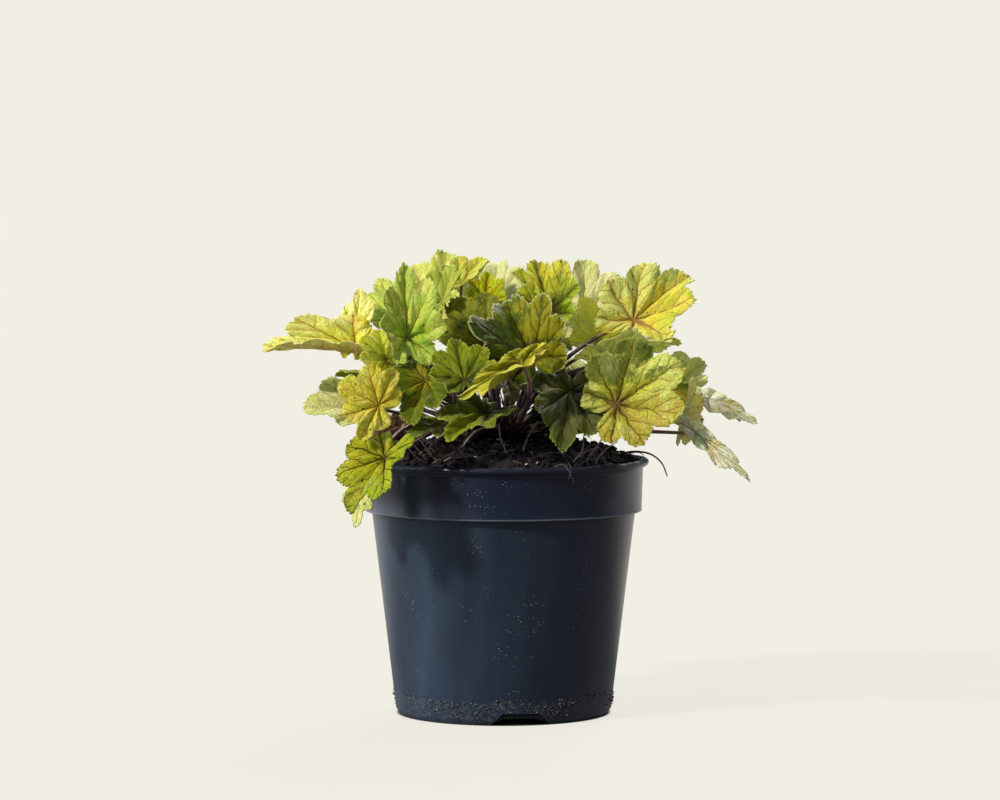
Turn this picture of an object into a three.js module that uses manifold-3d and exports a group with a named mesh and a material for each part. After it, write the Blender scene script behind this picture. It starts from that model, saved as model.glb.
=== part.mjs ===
// A heuchera (coral bells) in its round nursery pot. Millimetres, +Z up, the pot stands on z = 0
// with its axis on the Z axis, and the side with the large centre leaf faces -Y.

import * as THREE from "three";
import { mergeVertices } from "three/addons/utils/BufferGeometryUtils.js";
import Module from "manifold-3d";

// ---- pot: a one litre, 13 cm nursery container ----
const potHeight = 114;
const lipRadius = 65;
const lipDepth = 2.9; // the bead that runs round the rim
const collarBottom = 91;
const collarRadiusLow = 61.8;
const collarRadiusHigh = 62.4;
const bodyRadiusTop = 58.9;
const bodyRadiusBottom = 48.3;
const standRadius = 47;
const standWidth = 2;
const standHeight = 2.6;
const wall = 1.2;
const floorUnder = 2.4;
const floorTop = 3.8;
const floorRound = 1.4; // the bevel between floor and wall, inside
const footPadRadius = 12;
const potSides = 40;
const drainCount = 3;
const drainTurn = -81;
const drainWidthLow = 26.5;
const drainWidthHigh = 16.5;
const drainHeight = 5.3;
const drainInside = 4; // how far a notch runs in from the standing ring

// ---- soil ----
const gap = 0.3; // between pieces that touch
const soilInset = 0.4; // between the soil and the pot's wall
const soilEdge = 111.8;
const soilRise = 11;
const soilRadius = 60.6;
const soilSides = 30;
const soilRings = [50, 38, 26, 16];
const lumpHigh = 0.8;
const lumpLow = 0.6;

// ---- crown and leaf stalks ----
const crownRadius = 8;
const crownShoulder = 122.4;
const crownTop = 132;
const crownFoot = 101;
const crownSides = 12;
const stalkRadiusLow = 1.15;
const stalkRadiusHigh = 0.75;
const stalkSides = 4;
const stalkRings = 6;
const stalkFrom = { radius: 4.5, lowest: 123, spread: 6 }; // where the stalks leave the crown
const rootHeights = [116, 186]; // the lowest and the highest blade that the spread is made for
const stalkLeave = 0.3; // how far out the stalk climbs, against the way it has to go
const stalkClimb = { share: 0.45, least: 6 };
const stalkArrive = { under: 9, behind: 4 }; // the stalk comes to the blade from below and behind
const stalkEnd = 0.5; // a stalk stops this far short of the blade, past the gap
const stalkSwings = [0, 6, -6, 12, -12, 18, -18, 26, -26]; // tried in turn, sideways
const stalkLifts = [0, 7, -6, 14, 22, -12]; // tried in turn, upwards
const stalkClear = 0.2; // kept free round a stalk, past the gap
const soilClear = 1.6;
const rimClear = 0.6;

// ---- blades ----
const bladeThick = 0.7;
const clearance = 0.45; // between two blades that lie on each other
const slide = { step: 0.6, most: 1.2, rounds: 40 }; // how blades are moved apart
const sharedLeast = 0.001; // the overlap that counts as none, in cubic millimetres
const sinusDepth = 0.78; // the outline between two lobes, against their mean length
const ringAt = 0.56; // the inner ring of vertices, against the outline
const pucker = 0.035; // how far the blade swells between two veins
const hinge = 0.08; // half width of the bend along the midrib
const bendSteps = 12;
// Seven lobes: turn from the midrib in degrees, and length against the midrib's.
const lobes = [[-126, 0.54], [-84, 0.73], [-42, 0.88], [0, 1], [42, 0.88], [84, 0.73], [126, 0.54]];
const lobeTurnVaries = 6;
const lobeLengthVaries = 0.16;
// Round teeth on each side of a lobe's tip: place between tip and sinus, and reach.
const outerTooth = { at: 0.56, reach: 0.94 };
const innerTooth = { at: 0.3, reach: 0.93 };
// The cleft at the back that the stalk runs into: where it starts, and how deep it goes.
const cleft = { turn: 156, reach: 0.74, foot: 0.09 };

const tones = {
  lime: "#93a92c",
  yellow: "#c9c03e",
  green: "#5f8420",
  dark: "#35501a",
  pale: "#c3cc86",
  tan: "#b9913f",
  dry: "#5d4234",
};

// Each blade: name, where its stalk joins it, the tip of its middle lobe, the side its upper face
// looks to, then fold across the midrib, arch along it and roll of the margins in degrees, cup,
// wave, width, the seed of its small irregularities, and its tone.
const leaves = [
  ["far_left", [-65, -8, 163], [-107, -14, 162], [0.05, -0.5, 0.85], 56, 12, 0, 0, 0.05, 0.52, 3, "yellow"],
  ["left_upright", [-67, 2, 167], [-64, 8, 190], [-0.35, -0.9, 0.2], 20, 0, 0, 0, 0.04, 0.52, 4, "yellow"],
  ["upper_left", [-42, -32, 169], [-44, -24, 202], [0.3, -0.9, 0.2], 36, -10, 0, 0.04, 0.04, 0.68, 5, "lime"],
  ["back_left", [-45, 14, 177], [-57, 28, 194], [-0.2, -0.6, 0.75], 10, 0, 0, 0.05, 0.03, 0.8, 8, "pale"],
  ["top_left", [-30, 26, 183], [-26, 46, 206], [-0.1, -0.75, 0.65], 14, 0, 0, 0.04, 0.05, 0.82, 11, "pale"],
  ["upright_young", [-27, 4, 183], [-21, 10, 199], [-0.6, -0.75, 0.2], 38, 0, 0, 0, 0.03, 0.9, 13, "lime"],
  ["top_curled", [-19, 18, 191], [-9, 36, 201], [-0.2, -0.5, 0.85], 30, 0, 20, 0.03, 0.05, 0.8, 14, "lime"],
  ["top_pale", [-4, 42, 185], [-3, 62, 201], [0, -0.6, 0.8], 12, 0, 0, 0.04, 0.04, 0.9, 17, "pale"],
  ["red_young", [-8, 2, 184], [-7, 10, 197], [0, -0.85, 0.5], 24, 0, 0, 0.04, 0.03, 0.9, 19, "tan"],
  ["shaded_left", [-9, -12, 166], [-24, -2, 186], [-0.1, -0.85, 0.5], 12, 0, 0, 0, 0.03, 0.9, 21, "dark"],
  ["centre_large", [12, -37, 161], [0, -18, 187], [-0.15, -0.85, 0.5], 36, 6, 0, 0, 0.05, 1, 23, "green"],
  ["top_centre", [21, 8, 180], [14, 28, 202], [-0.05, -0.8, 0.6], 44, 0, 0, 0.03, 0.05, 0.84, 26, "lime"],
  ["top_right_pale", [36, 42, 175], [38, 62, 201], [0.1, -0.7, 0.7], 10, 0, 0, 0.03, 0.04, 0.8, 29, "pale"],
  ["back_yellow", [43, 20, 165], [36, 28, 185], [0.1, -0.8, 0.5], 20, 0, 0, 0.05, 0.05, 0.9, 31, "yellow"],
  ["top_right", [58, -1, 174], [84, 16, 195], [0.05, -0.75, 0.65], 24, 8, 0, 0.02, 0.05, 0.78, 32, "yellow"],
  ["right_flat", [47, -10, 161], [74, -26, 168], [0.1, 0.25, 0.96], 12, 6, 0, 0, 0.04, 0.75, 37, "green"],
  ["right_large", [49, -54, 141], [77, -62, 160], [0.12, -0.9, 0.42], 10, 6, 0, 0, 0.04, 0.92, 38, "yellow"],
  ["front_dark", [29, -35, 146], [25, -62, 123], [0.2, -0.72, 0.7], 14, 10, 0, 0, 0.04, 0.68, 41, "dark"],
  ["red_veined", [2, -22, 152], [4, -43, 142], [0, -0.7, 0.7], 16, 0, 0, 0.03, 0.04, 0.7, 43, "tan"],
  ["lower_centre", [-17, -58, 152], [-21, -44, 169], [0, -0.6, 0.8], 10, -10, 0, 0.1, 0.04, 0.9, 44, "green"],
  ["centre_left", [-34, -42, 151], [-41, -58, 132], [-0.2, -0.8, 0.4], 20, 6, 0, 0, 0.05, 0.88, 47, "green"],
  ["left_tan", [-54, -60, 141], [-71, -65, 151], [-0.35, -0.8, 0.45], 14, 8, 0, 0, 0.04, 1.15, 49, "tan"],
  ["left_pale", [-61, 0, 136], [-89, -8, 138], [-0.2, -0.6, 0.75], 10, 6, 0, 0, 0.04, 0.88, 50, "pale"],
  ["left_small", [-52, -20, 159], [-63, -28, 169], [-0.2, -0.8, 0.5], 12, 6, 0, 0, 0.03, 0.8, 53, "lime"],
  ["droop_left", [-51, -66, 119], [-65, -77, 95], [-0.5, -0.75, 0.4], 26, 14, 0, 0, 0.06, 0.82, 55, "yellow"],
  ["dry_brown", [-46, -20, 124], [-63, -34, 125], [0.1, -0.5, 0.85], 55, 20, 20, 0, 0.06, 0.75, 56, "dry"],
  ["low_left", [-26, -38, 130], [-40, -56, 128], [-0.1, -0.6, 0.8], 8, 12, 0, 0, 0.04, 0.74, 59, "dark"],
  ["front_strip", [-7, -41, 136], [-24, -67, 126], [0.25, -0.1, 0.96], 24, 10, 0, 0, 0.04, 0.62, 62, "dark"],
  ["rim_front", [-20, -56, 121], [-31, -68, 118], [-0.1, -0.5, 0.85], 8, 8, 0, 0, 0.04, 0.85, 65, "dark"],
  ["right_small", [76, -2, 147], [90, 4, 158], [0.2, -0.75, 0.6], 14, 0, 0, 0.03, 0.04, 0.85, 67, "green"],
  ["right_low", [73, -10, 145], [77, -24, 133], [0.3, -0.75, 0.55], 12, 6, 0, 0, 0.04, 0.85, 68, "green"],
  ["right_dry", [78, -42, 132], [82, -46, 153], [0.7, -0.6, 0.2], 60, 10, 10, 0, 0.05, 0.6, 71, "tan"],
  ["right_droop", [83, -56, 129], [106, -62, 108], [-0.1, -0.85, 0.5], 22, 10, 0, 0, 0.05, 0.2, 73, "pale"],
  ["far_right", [90, -30, 142], [111, -28, 131], [-0.1, -0.8, 0.6], 14, 14, 0, 0, 0.05, 0.3, 74, "pale"],
  ["back_1", [-50, 38, 143], [-76, 54, 148], [-0.3, 0.3, 0.9], 12, 12, 0, 0, 0.04, 1, 80, "green"],
  ["back_2", [-28, 46, 153], [-44, 80, 153], [-0.2, 0.4, 0.9], 14, 12, 0, 0, 0.05, 1, 81, "lime"],
  ["back_3", [2, 52, 159], [0, 88, 163], [0, 0.3, 0.95], 14, 14, 0, 0, 0.05, 1, 82, "yellow"],
  ["back_4", [34, 48, 149], [54, 78, 147], [0.3, 0.4, 0.85], 12, 12, 0, 0, 0.04, 1, 83, "lime"],
  ["back_5", [58, 30, 141], [88, 46, 143], [0.3, 0.3, 0.9], 14, 12, 0, 0, 0.04, 1, 84, "green"],
  ["back_6", [-30, 44, 125], [-52, 72, 115], [-0.4, 0.6, 0.7], 10, 14, 0, 0, 0.05, 1, 85, "dark"],
  ["back_7", [16, 48, 127], [22, 82, 119], [0.1, 0.6, 0.8], 10, 14, 0, 0, 0.05, 1, 86, "dark"],
  ["back_8", [-6, 20, 171], [-10, 34, 185], [0, -0.5, 0.85], 14, 0, 0, 0.05, 0.03, 0.9, 88, "lime"],
  ["back_9", [-12, 40, 169], [-20, 68, 179], [0, 0.2, 0.97], 14, 12, 0, 0, 0.05, 0.95, 90, "lime"],
  ["back_10", [22, 44, 165], [30, 72, 173], [0.1, 0.2, 0.95], 12, 12, 0, 0, 0.05, 0.95, 91, "green"],
  ["back_11", [54, 36, 157], [80, 52, 165], [0.2, 0.2, 0.95], 14, 12, 0, 0, 0.04, 0.95, 92, "lime"],
  ["back_12", [-48, 30, 159], [-72, 44, 163], [-0.2, 0.2, 0.95], 14, 12, 0, 0, 0.04, 0.9, 93, "green"],
  ["mid_left", [-26, 12, 149], [-50, 14, 155], [-0.2, 0, 0.98], 12, 10, 0, 0, 0.05, 0.95, 94, "green"],
  ["mid_right", [28, 14, 147], [54, 12, 149], [0.2, 0, 0.98], 12, 10, 0, 0, 0.05, 0.95, 95, "dark"],
  ["mid_front", [24, -7, 141.5], [45, -19, 146], [0.1, -0.2, 0.97], 12, 10, 0, 0, 0.04, 0.82, 98, "dark"],
  ["droop_small", [-60, -46, 109], [-64, -51, 87], [-0.7, -0.6, 0.3], 10, 10, 0, 0, 0.04, 0.7, 96, "pale"],
  ["front_folded", [8, -60, 159], [-19, -74, 144.5], [0.3, -0.3, 0.9], 58, 6, 0, 0, 0.04, 0.34, 97, "yellow"],
].map(([name, root, tip, faces, fold, arch, roll, cup, wave, width, seed, tone]) => (
  { name: `leaf_${name}`, root, tip, faces, fold, arch, roll, cup, wave, width, seed, tone }
));

const rad = THREE.MathUtils.degToRad;
const vec = (p) => new THREE.Vector3(p[0], p[1], p[2]);

const library = await Module();
library.setup();

// A row of draws from 0 to 1, the same for the same seed.
function seeded(seed) {
  const range = 2 ** 32;
  let state = seed * 7919 + 13;
  return () => {
    state = (state * 1664525 + 1013904223) % range;
    return state / range;
  };
}

// A closed geometry as a solid, in its own frame or in the frame of a matrix.
function solidOf(geometry, matrix) {
  const bare = new THREE.BufferGeometry();
  bare.setAttribute("position", geometry.getAttribute("position").clone());
  if (geometry.index) bare.setIndex(geometry.index);
  if (matrix) bare.applyMatrix4(matrix);
  const merged = mergeVertices(bare, 1e-4);
  return new library.Manifold(new library.Mesh({
    numProp: 3,
    vertProperties: merged.attributes.position.array,
    triVerts: new Uint32Array(merged.index.array),
  }));
}

function geometryOf(solid) {
  const mesh = solid.getMesh();
  const geometry = new THREE.BufferGeometry();
  geometry.setAttribute("position", new THREE.BufferAttribute(mesh.vertProperties.slice(), 3));
  geometry.setIndex([...mesh.triVerts]);
  return geometry;
}

function lathe(profile, sides) {
  const geometry = new THREE.LatheGeometry(profile.map(([r, z]) => new THREE.Vector2(r, z)), sides);
  return geometry.rotateX(Math.PI / 2);
}

function named(name, geometry, colour, roughness) {
  geometry.computeVertexNormals();
  const look = new THREE.MeshStandardMaterial({ color: colour, roughness, metalness: 0 });
  const mesh = new THREE.Mesh(geometry, look);
  mesh.name = name;
  return mesh;
}

// ---- the pot ----
// Turned profile, from the foot pad round the outside and back down the inside, then the drain
// notches cut out of the bottom corner.
function makePot() {
  const standInner = standRadius - standWidth;
  const bodyInner = bodyRadiusBottom - wall;
  const profile = [
    [0, 0], [footPadRadius, 0], [footPadRadius + 1, floorUnder],
    [standInner - floorRound, floorUnder], [standInner, 0], [standRadius, 0],
    [bodyRadiusBottom, standHeight], [bodyRadiusTop, collarBottom - wall / 2],
    [collarRadiusLow, collarBottom], [collarRadiusHigh, potHeight - lipDepth - 0.5],
    [lipRadius - 1.2, potHeight - lipDepth], [lipRadius, potHeight - lipDepth / 2],
    [lipRadius - 0.6, potHeight], [collarRadiusHigh, potHeight],
    [collarRadiusHigh - wall, potHeight - 2], [collarRadiusLow - wall, collarBottom + 1.6],
    [bodyRadiusTop - wall, collarBottom + 0.9], [bodyInner, floorTop + 0.8],
    [bodyInner - floorRound, floorTop], [0, floorTop],
  ];
  let pot = solidOf(lathe(profile, potSides));
  const cut = new THREE.Shape([
    new THREE.Vector2(-drainWidthLow / 2 - 1, -1),
    new THREE.Vector2(drainWidthLow / 2 + 1, -1),
    new THREE.Vector2(drainWidthHigh / 2, drainHeight),
    new THREE.Vector2(-drainWidthHigh / 2, drainHeight),
  ]);
  for (let i = 0; i < drainCount; i++) {
    const notch = new THREE.ExtrudeGeometry(cut, { depth: 12, bevelEnabled: false });
    notch.rotateX(Math.PI / 2);
    notch.rotateZ(Math.PI / 2);
    notch.translate(standRadius - drainInside, 0, 0);
    notch.rotateZ(rad(drainTurn + (360 / drainCount) * i));
    pot = pot.subtract(solidOf(notch));
  }
  return named("pot", geometryOf(pot), "#262f3a", 0.5);
}

// ---- the soil ----
// Fills the pot to the rim, mounded towards the crown, with a plain hole that the crown stands in.
const soilHeight = (r) => soilEdge + soilRise * (1 - (r / soilRadius) ** 3);

function makeSoil() {
  const inner = wall + soilInset;
  const profile = [
    [0, floorTop + gap], [bodyRadiusBottom - inner - floorRound, floorTop + gap],
    [bodyRadiusBottom - inner, floorTop + floorRound], [bodyRadiusTop - inner, collarBottom + 1.2],
    [collarRadiusLow - inner, collarBottom + 2.1], [soilRadius, soilEdge],
  ];
  for (const r of soilRings) profile.push([r, soilHeight(r)]);
  const hole = crownRadius + gap;
  profile.push([hole, soilHeight(hole)], [hole, crownFoot - gap], [0, crownFoot - gap]);
  const geometry = lathe(profile, soilSides);
  const at = geometry.getAttribute("position");
  for (let i = 0; i < at.count; i++) {
    const r = Math.hypot(at.getX(i), at.getY(i));
    if (at.getZ(i) < soilEdge + 0.2 || r < hole + 1) continue;
    const turn = Math.atan2(at.getY(i), at.getX(i));
    const lump = lumpHigh * Math.sin(5 * turn + r * 0.4) + lumpLow * Math.sin(11 * turn - r);
    at.setZ(i, at.getZ(i) + lump);
  }
  return named("soil", geometryOf(solidOf(geometry)), "#1d1613", 1);
}

// ---- a leaf blade ----
// Outline in polar form round the stalk joint: the cleft, then each lobe's teeth, tip, teeth and
// the sinus after it. A point marked true has a spoke, with a vertex of the inner ring on it.
function outlineOf(leaf) {
  const draw = seeded(leaf.seed);
  const own = lobes.map(([turn, long]) => {
    const turned = turn + (draw() - 0.5) * lobeTurnVaries;
    const grown = long * (1 + (draw() - 0.5) * lobeLengthVaries);
    return turn ? [turned, grown] : [0, 1];
  });
  const last = own.length - 1;
  const points = [[-180, cleft.foot, true], [-cleft.turn, own[0][1] * cleft.reach, true]];
  own.forEach(([turn, long], i) => {
    const before = i ? (own[i - 1][0] + turn) / 2 : -cleft.turn;
    const after = i < last ? (own[i + 1][0] + turn) / 2 : cleft.turn;
    const between = (t) => (t < 0 ? turn + (turn - before) * t : turn + (after - turn) * t);
    const full = i > 0 && i < last;
    points.push([between(-outerTooth.at), long * outerTooth.reach]);
    if (full) points.push([between(-innerTooth.at), long * innerTooth.reach]);
    points.push([turn, long, true]);
    if (full) points.push([between(innerTooth.at), long * innerTooth.reach]);
    points.push([between(outerTooth.at), long * outerTooth.reach]);
    const next = i < last ? (long + own[i + 1][1]) / 2 : long;
    points.push([after, next * sinusDepth, true]);
  });
  return { own, points };
}

// How high a point stands over the flat blade: the swelling between veins, the cup and the waves.
function liftOf(turnDegrees, far, leaf, own) {
  const stops = [-180, ...own.map((lobe) => lobe[0]), 180];
  const after = stops.findIndex((stop, i) => i && turnDegrees <= stop);
  const between = (turnDegrees - stops[after - 1]) / (stops[after] - stops[after - 1]);
  const swell = pucker * Math.sin(Math.PI * between) ** 2 * 4 * far * Math.max(0, 1 - far);
  const ripples = 5 + (leaf.seed % 3);
  const wave = leaf.wave * Math.sin(ripples * rad(turnDegrees) + leaf.seed * 1.7);
  return swell + (leaf.cup + wave) * far * far;
}

// Where a point of the flat blade goes, all against the midrib's length: x along the midrib, y across.
function bent(turnDegrees, far, leaf, own) {
  const x = far * Math.cos(rad(turnDegrees));
  const y = far * Math.sin(rad(turnDegrees)) * leaf.width;
  const reach = Math.abs(y);
  const lean = (s) => rad(leaf.fold) * (1 - Math.exp(-s / hinge)) + rad(leaf.roll) * s;
  const lift = liftOf(turnDegrees, far, leaf, own);
  let side = -lift * Math.sin(lean(reach));
  let rise = lift * Math.cos(lean(reach));
  for (let i = 0; i < bendSteps; i++) {
    const angle = lean(((i + 0.5) * reach) / bendSteps);
    side += (Math.cos(angle) * reach) / bendSteps;
    rise += (Math.sin(angle) * reach) / bendSteps;
  }
  const curve = rad(leaf.arch) || 1e-6;
  const droop = curve * x;
  return new THREE.Vector3(
    Math.sin(droop) / curve + rise * Math.sin(droop),
    Math.sign(y) * side,
    (Math.cos(droop) - 1) / curve + rise * Math.cos(droop),
  );
}

// Triangles of a blade: a fan inside the ring of spokes, and strips from the ring to the outline,
// which fan out from the spoke of each lobe's tip.
function facesOf(points, spokes) {
  const rim = points.length;
  const centre = rim + spokes.length;
  const faces = [];
  spokes.forEach((from, k) => {
    const to = spokes[(k + 1) % spokes.length];
    const inner = rim + k;
    const next = rim + ((k + 1) % spokes.length);
    const count = (to - from + rim) % rim;
    const change = points[from][1] < points[to][1] ? Math.min(1, count - 1) : count - 1;
    faces.push([centre, inner, next]);
    for (let j = 0; j < count; j++) {
      const here = (from + j) % rim;
      if (j === change) faces.push([inner, here, next]);
      faces.push([j < change ? inner : next, here, (here + 1) % rim]);
    }
  });
  return faces;
}

// Mid surface of a blade: vertices, triangles, and its frame in the plant.
function surfaceOf(leaf) {
  const { own, points } = outlineOf(leaf);
  const root = vec(leaf.root);
  const chord = vec(leaf.tip).sub(root);
  const end = bent(0, 1, leaf, own);
  const size = chord.length() / end.length();
  const tilt = Math.atan2(end.z, end.x);
  const along = chord.normalize();
  const up = vec(leaf.faces);
  up.addScaledVector(along, -up.dot(along)).normalize();
  const x = along.clone().multiplyScalar(Math.cos(tilt)).addScaledVector(up, -Math.sin(tilt));
  const z = along.clone().multiplyScalar(Math.sin(tilt)).addScaledVector(up, Math.cos(tilt));
  const y = z.clone().cross(x);
  const spokes = points.map((point, i) => (point[2] ? i : -1)).filter((i) => i >= 0);
  const ring = spokes.map((i) => [points[i][0], points[i][1] * ringAt]);
  const flat = [...points, ...ring, [0, 0]];
  const vertices = flat.map(([turn, far]) => bent(turn, far, leaf, own).multiplyScalar(size));
  return { vertices, faces: facesOf(points, spokes), rim: points.length, root, x, y, z, up, along };
}

// The surface thickened to a closed blade, both faces split alike.
function bladeGeometry({ vertices, faces, rim }, thick) {
  const normals = vertices.map(() => new THREE.Vector3());
  for (const [a, b, c] of faces) {
    const n = vertices[b].clone().sub(vertices[a]).cross(vertices[c].clone().sub(vertices[a]));
    for (const i of [a, b, c]) normals[i].add(n);
  }
  normals.forEach((n) => n.normalize());
  const count = vertices.length;
  const at = [];
  for (const way of [0.5, -0.5]) {
    vertices.forEach((v, i) => {
      at.push(...v.clone().addScaledVector(normals[i], thick * way).toArray());
    });
  }
  const index = [];
  for (const [a, b, c] of faces) index.push(a, b, c, count + a, count + c, count + b);
  for (let i = 0; i < rim; i++) {
    const j = (i + 1) % rim;
    index.push(i, count + i, j, j, count + i, count + j);
  }
  const geometry = new THREE.BufferGeometry();
  geometry.setAttribute("position", new THREE.Float32BufferAttribute(at, 3));
  geometry.setIndex(index);
  return geometry;
}

// ---- room between the blades ----
// The way two pieces are slid apart: the mean of the ways their faces look, or upwards.
function wayApart(a, b) {
  if (!b.surface) return new THREE.Vector3(0, 0, 1);
  const way = a.surface.up.clone();
  way.addScaledVector(b.surface.up, Math.sign(way.dot(b.surface.up)) || 1).normalize();
  const shared = (s) => {
    const moved = a.shell.translate(way.clone().multiplyScalar(s).toArray());
    return moved.intersect(b.shell).volume();
  };
  return shared(2 * slide.step) <= shared(-2 * slide.step) ? way : way.negate();
}

// Blades that would meet are slid apart, a little at a time.
function settle(blades, fixed) {
  const apart = (a, b) => [0, 1, 2].some((i) => a.max[i] < b.min[i] || b.max[i] < a.min[i]);
  for (let round = 0; round < slide.rounds; round++) {
    const push = blades.map(() => new THREE.Vector3());
    blades.forEach((a, i) => {
      const box = a.shell.boundingBox();
      const others = [...blades.slice(i + 1), ...fixed];
      others.forEach((b, j) => {
        if (apart(box, b.shell.boundingBox())) return;
        if (a.shell.intersect(b.shell).volume() <= sharedLeast) return;
        const way = wayApart(a, b);
        push[i].addScaledVector(way, slide.step);
        if (b.surface) push[i + 1 + j].addScaledVector(way, -slide.step);
      });
    });
    if (push.every((way) => !way.lengthSq())) break;
    blades.forEach((blade, i) => {
      push[i].clampLength(0, slide.most);
      blade.moved.add(push[i]);
      blade.shell = blade.shell.translate(push[i].toArray());
    });
  }
}

// ---- crown and stalks ----
const stalkRadius = (t) => stalkRadiusLow + (stalkRadiusHigh - stalkRadiusLow) * t;

// Centre line of a stalk from the crown to the underside of its blade, swung sideways and lifted.
function stalkPath({ surface, root }, swing, lift) {
  const out = new THREE.Vector3(root.x, root.y, 0).normalize();
  const across = new THREE.Vector3(-out.y, out.x, 0);
  const [low, high] = rootHeights;
  const height = THREE.MathUtils.clamp((root.z - low) / (high - low), 0, 1);
  const start = out.clone().multiplyScalar(stalkFrom.radius);
  start.z = stalkFrom.lowest + stalkFrom.spread * height;
  const end = root.clone().addScaledVector(surface.up, -(bladeThick / 2 + gap + stalkEnd));
  const level = Math.hypot(end.x - start.x, end.y - start.y);
  const first = start.clone().addScaledVector(out, level * stalkLeave);
  first.addScaledVector(across, swing);
  first.z += Math.max(stalkClimb.least, (end.z - start.z) * stalkClimb.share) + lift;
  const second = end.clone().addScaledVector(surface.up, -stalkArrive.under);
  second.addScaledVector(surface.along, -stalkArrive.behind).addScaledVector(across, swing / 2);
  second.z += lift / 2;
  return { curve: new THREE.CubicBezierCurve3(start, first, second, end), across };
}

function stalkGeometry({ curve, across }) {
  const at = [];
  const index = [];
  for (let i = 0; i < stalkRings; i++) {
    const t = i / (stalkRings - 1);
    const middle = curve.getPoint(t);
    const along = curve.getTangent(t);
    const a = across.clone().addScaledVector(along, -across.dot(along)).normalize();
    const b = along.clone().cross(a);
    const r = stalkRadius(t);
    for (let k = 0; k < stalkSides; k++) {
      const turn = (k / stalkSides) * Math.PI * 2;
      const p = middle.clone().addScaledVector(a, r * Math.cos(turn));
      at.push(...p.addScaledVector(b, r * Math.sin(turn)).toArray());
      if (!i) continue;
      const low = (i - 1) * stalkSides;
      const high = i * stalkSides;
      const next = (k + 1) % stalkSides;
      index.push(low + k, low + next, high + next, low + k, high + next, high + k);
    }
  }
  const last = (stalkRings - 1) * stalkSides;
  for (let k = 1; k < stalkSides - 1; k++) {
    index.push(0, k + 1, k, last, last + k, last + k + 1);
  }
  const geometry = new THREE.BufferGeometry();
  geometry.setAttribute("position", new THREE.Float32BufferAttribute(at, 3));
  geometry.setIndex(index);
  return geometry;
}

// How far a stalk comes too near to a blade, the soil or the rim, summed along it.
function crowding({ curve }, blades, own) {
  let sum = 0;
  const near = new THREE.Vector3();
  const long = curve.getLength();
  const count = Math.ceil(long / 1.6);
  for (let i = 1; i <= count; i++) {
    const t = i / count;
    const p = curve.getPoint(t);
    const r = stalkRadius(t);
    const need = r + bladeThick / 2 + gap + stalkClear;
    for (const blade of blades) {
      if (blade === own && (1 - t) * long < 2 * stalkRadiusHigh) continue;
      if (p.distanceTo(blade.middle) > blade.around + need) continue;
      for (const triangle of blade.triangles) {
        const distance = triangle.closestPointToPoint(p, near).distanceTo(p);
        sum += Math.max(0, need - distance);
      }
    }
    const out = Math.hypot(p.x, p.y);
    if (out > crownRadius && out < soilRadius) {
      sum += Math.max(0, soilHeight(out) + soilClear + r - p.z);
    }
    if (out > bodyRadiusTop && out < lipRadius + 2) {
      sum += Math.max(0, potHeight + rimClear + r - p.z);
    }
  }
  return sum;
}

// The route with the most room, or the first of several that have enough.
function bestPath(blade, blades) {
  let best = null;
  for (const lift of stalkLifts) {
    for (const swing of stalkSwings) {
      const path = stalkPath(blade, swing, lift);
      const crowd = crowding(path, blades, blade);
      if (!best || crowd < best.crowd) best = { path, crowd };
      if (crowd === 0) return path;
    }
  }
  return best.path;
}

function makeStalks(blades) {
  const crown = lathe([
    [0, crownFoot], [crownRadius - 1, crownFoot], [crownRadius, crownFoot + 3],
    [crownRadius, crownShoulder], [crownRadius - 0.6, crownTop - 5],
    [crownRadius - 3, crownTop - 1.2], [0, crownTop],
  ], crownSides);
  const stalks = blades.map((blade) => solidOf(stalkGeometry(bestPath(blade, blades))));
  const joined = library.Manifold.union([solidOf(crown), ...stalks]);
  return named("crown_and_stalks", geometryOf(joined), "#5b3a3a", 0.6);
}

// ---- assembly ----
const group = new THREE.Group();
const pot = makePot();
const soil = makeSoil();
group.add(pot, soil);

const blades = leaves.map((leaf) => {
  const surface = surfaceOf(leaf);
  const mesh = named(leaf.name, bladeGeometry(surface, bladeThick), tones[leaf.tone], 0.6);
  const frame = new THREE.Matrix4().makeBasis(surface.x, surface.y, surface.z);
  mesh.quaternion.setFromRotationMatrix(frame);
  mesh.position.copy(surface.root);
  mesh.updateMatrix();
  const shell = solidOf(bladeGeometry(surface, bladeThick + clearance), mesh.matrix);
  return { mesh, surface, shell, moved: new THREE.Vector3() };
});
settle(blades, [{ shell: solidOf(pot.geometry) }, { shell: solidOf(soil.geometry) }]);

for (const blade of blades) {
  const { mesh, surface } = blade;
  mesh.position.add(blade.moved);
  mesh.updateMatrix();
  blade.root = mesh.position.clone();
  const at = surface.vertices.map((v) => v.clone().applyMatrix4(mesh.matrix));
  blade.triangles = surface.faces.map(([a, b, c]) => new THREE.Triangle(at[a], at[b], at[c]));
  blade.middle = new THREE.Box3().setFromPoints(at).getCenter(new THREE.Vector3());
  blade.around = Math.max(...at.map((p) => p.distanceTo(blade.middle)));
  group.add(mesh);
}
group.add(makeStalks(blades));

export default group;
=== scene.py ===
import math
import random
from functools import partial

import bmesh
import bpy
import numpy as np
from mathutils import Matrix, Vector, kdtree, noise


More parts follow.
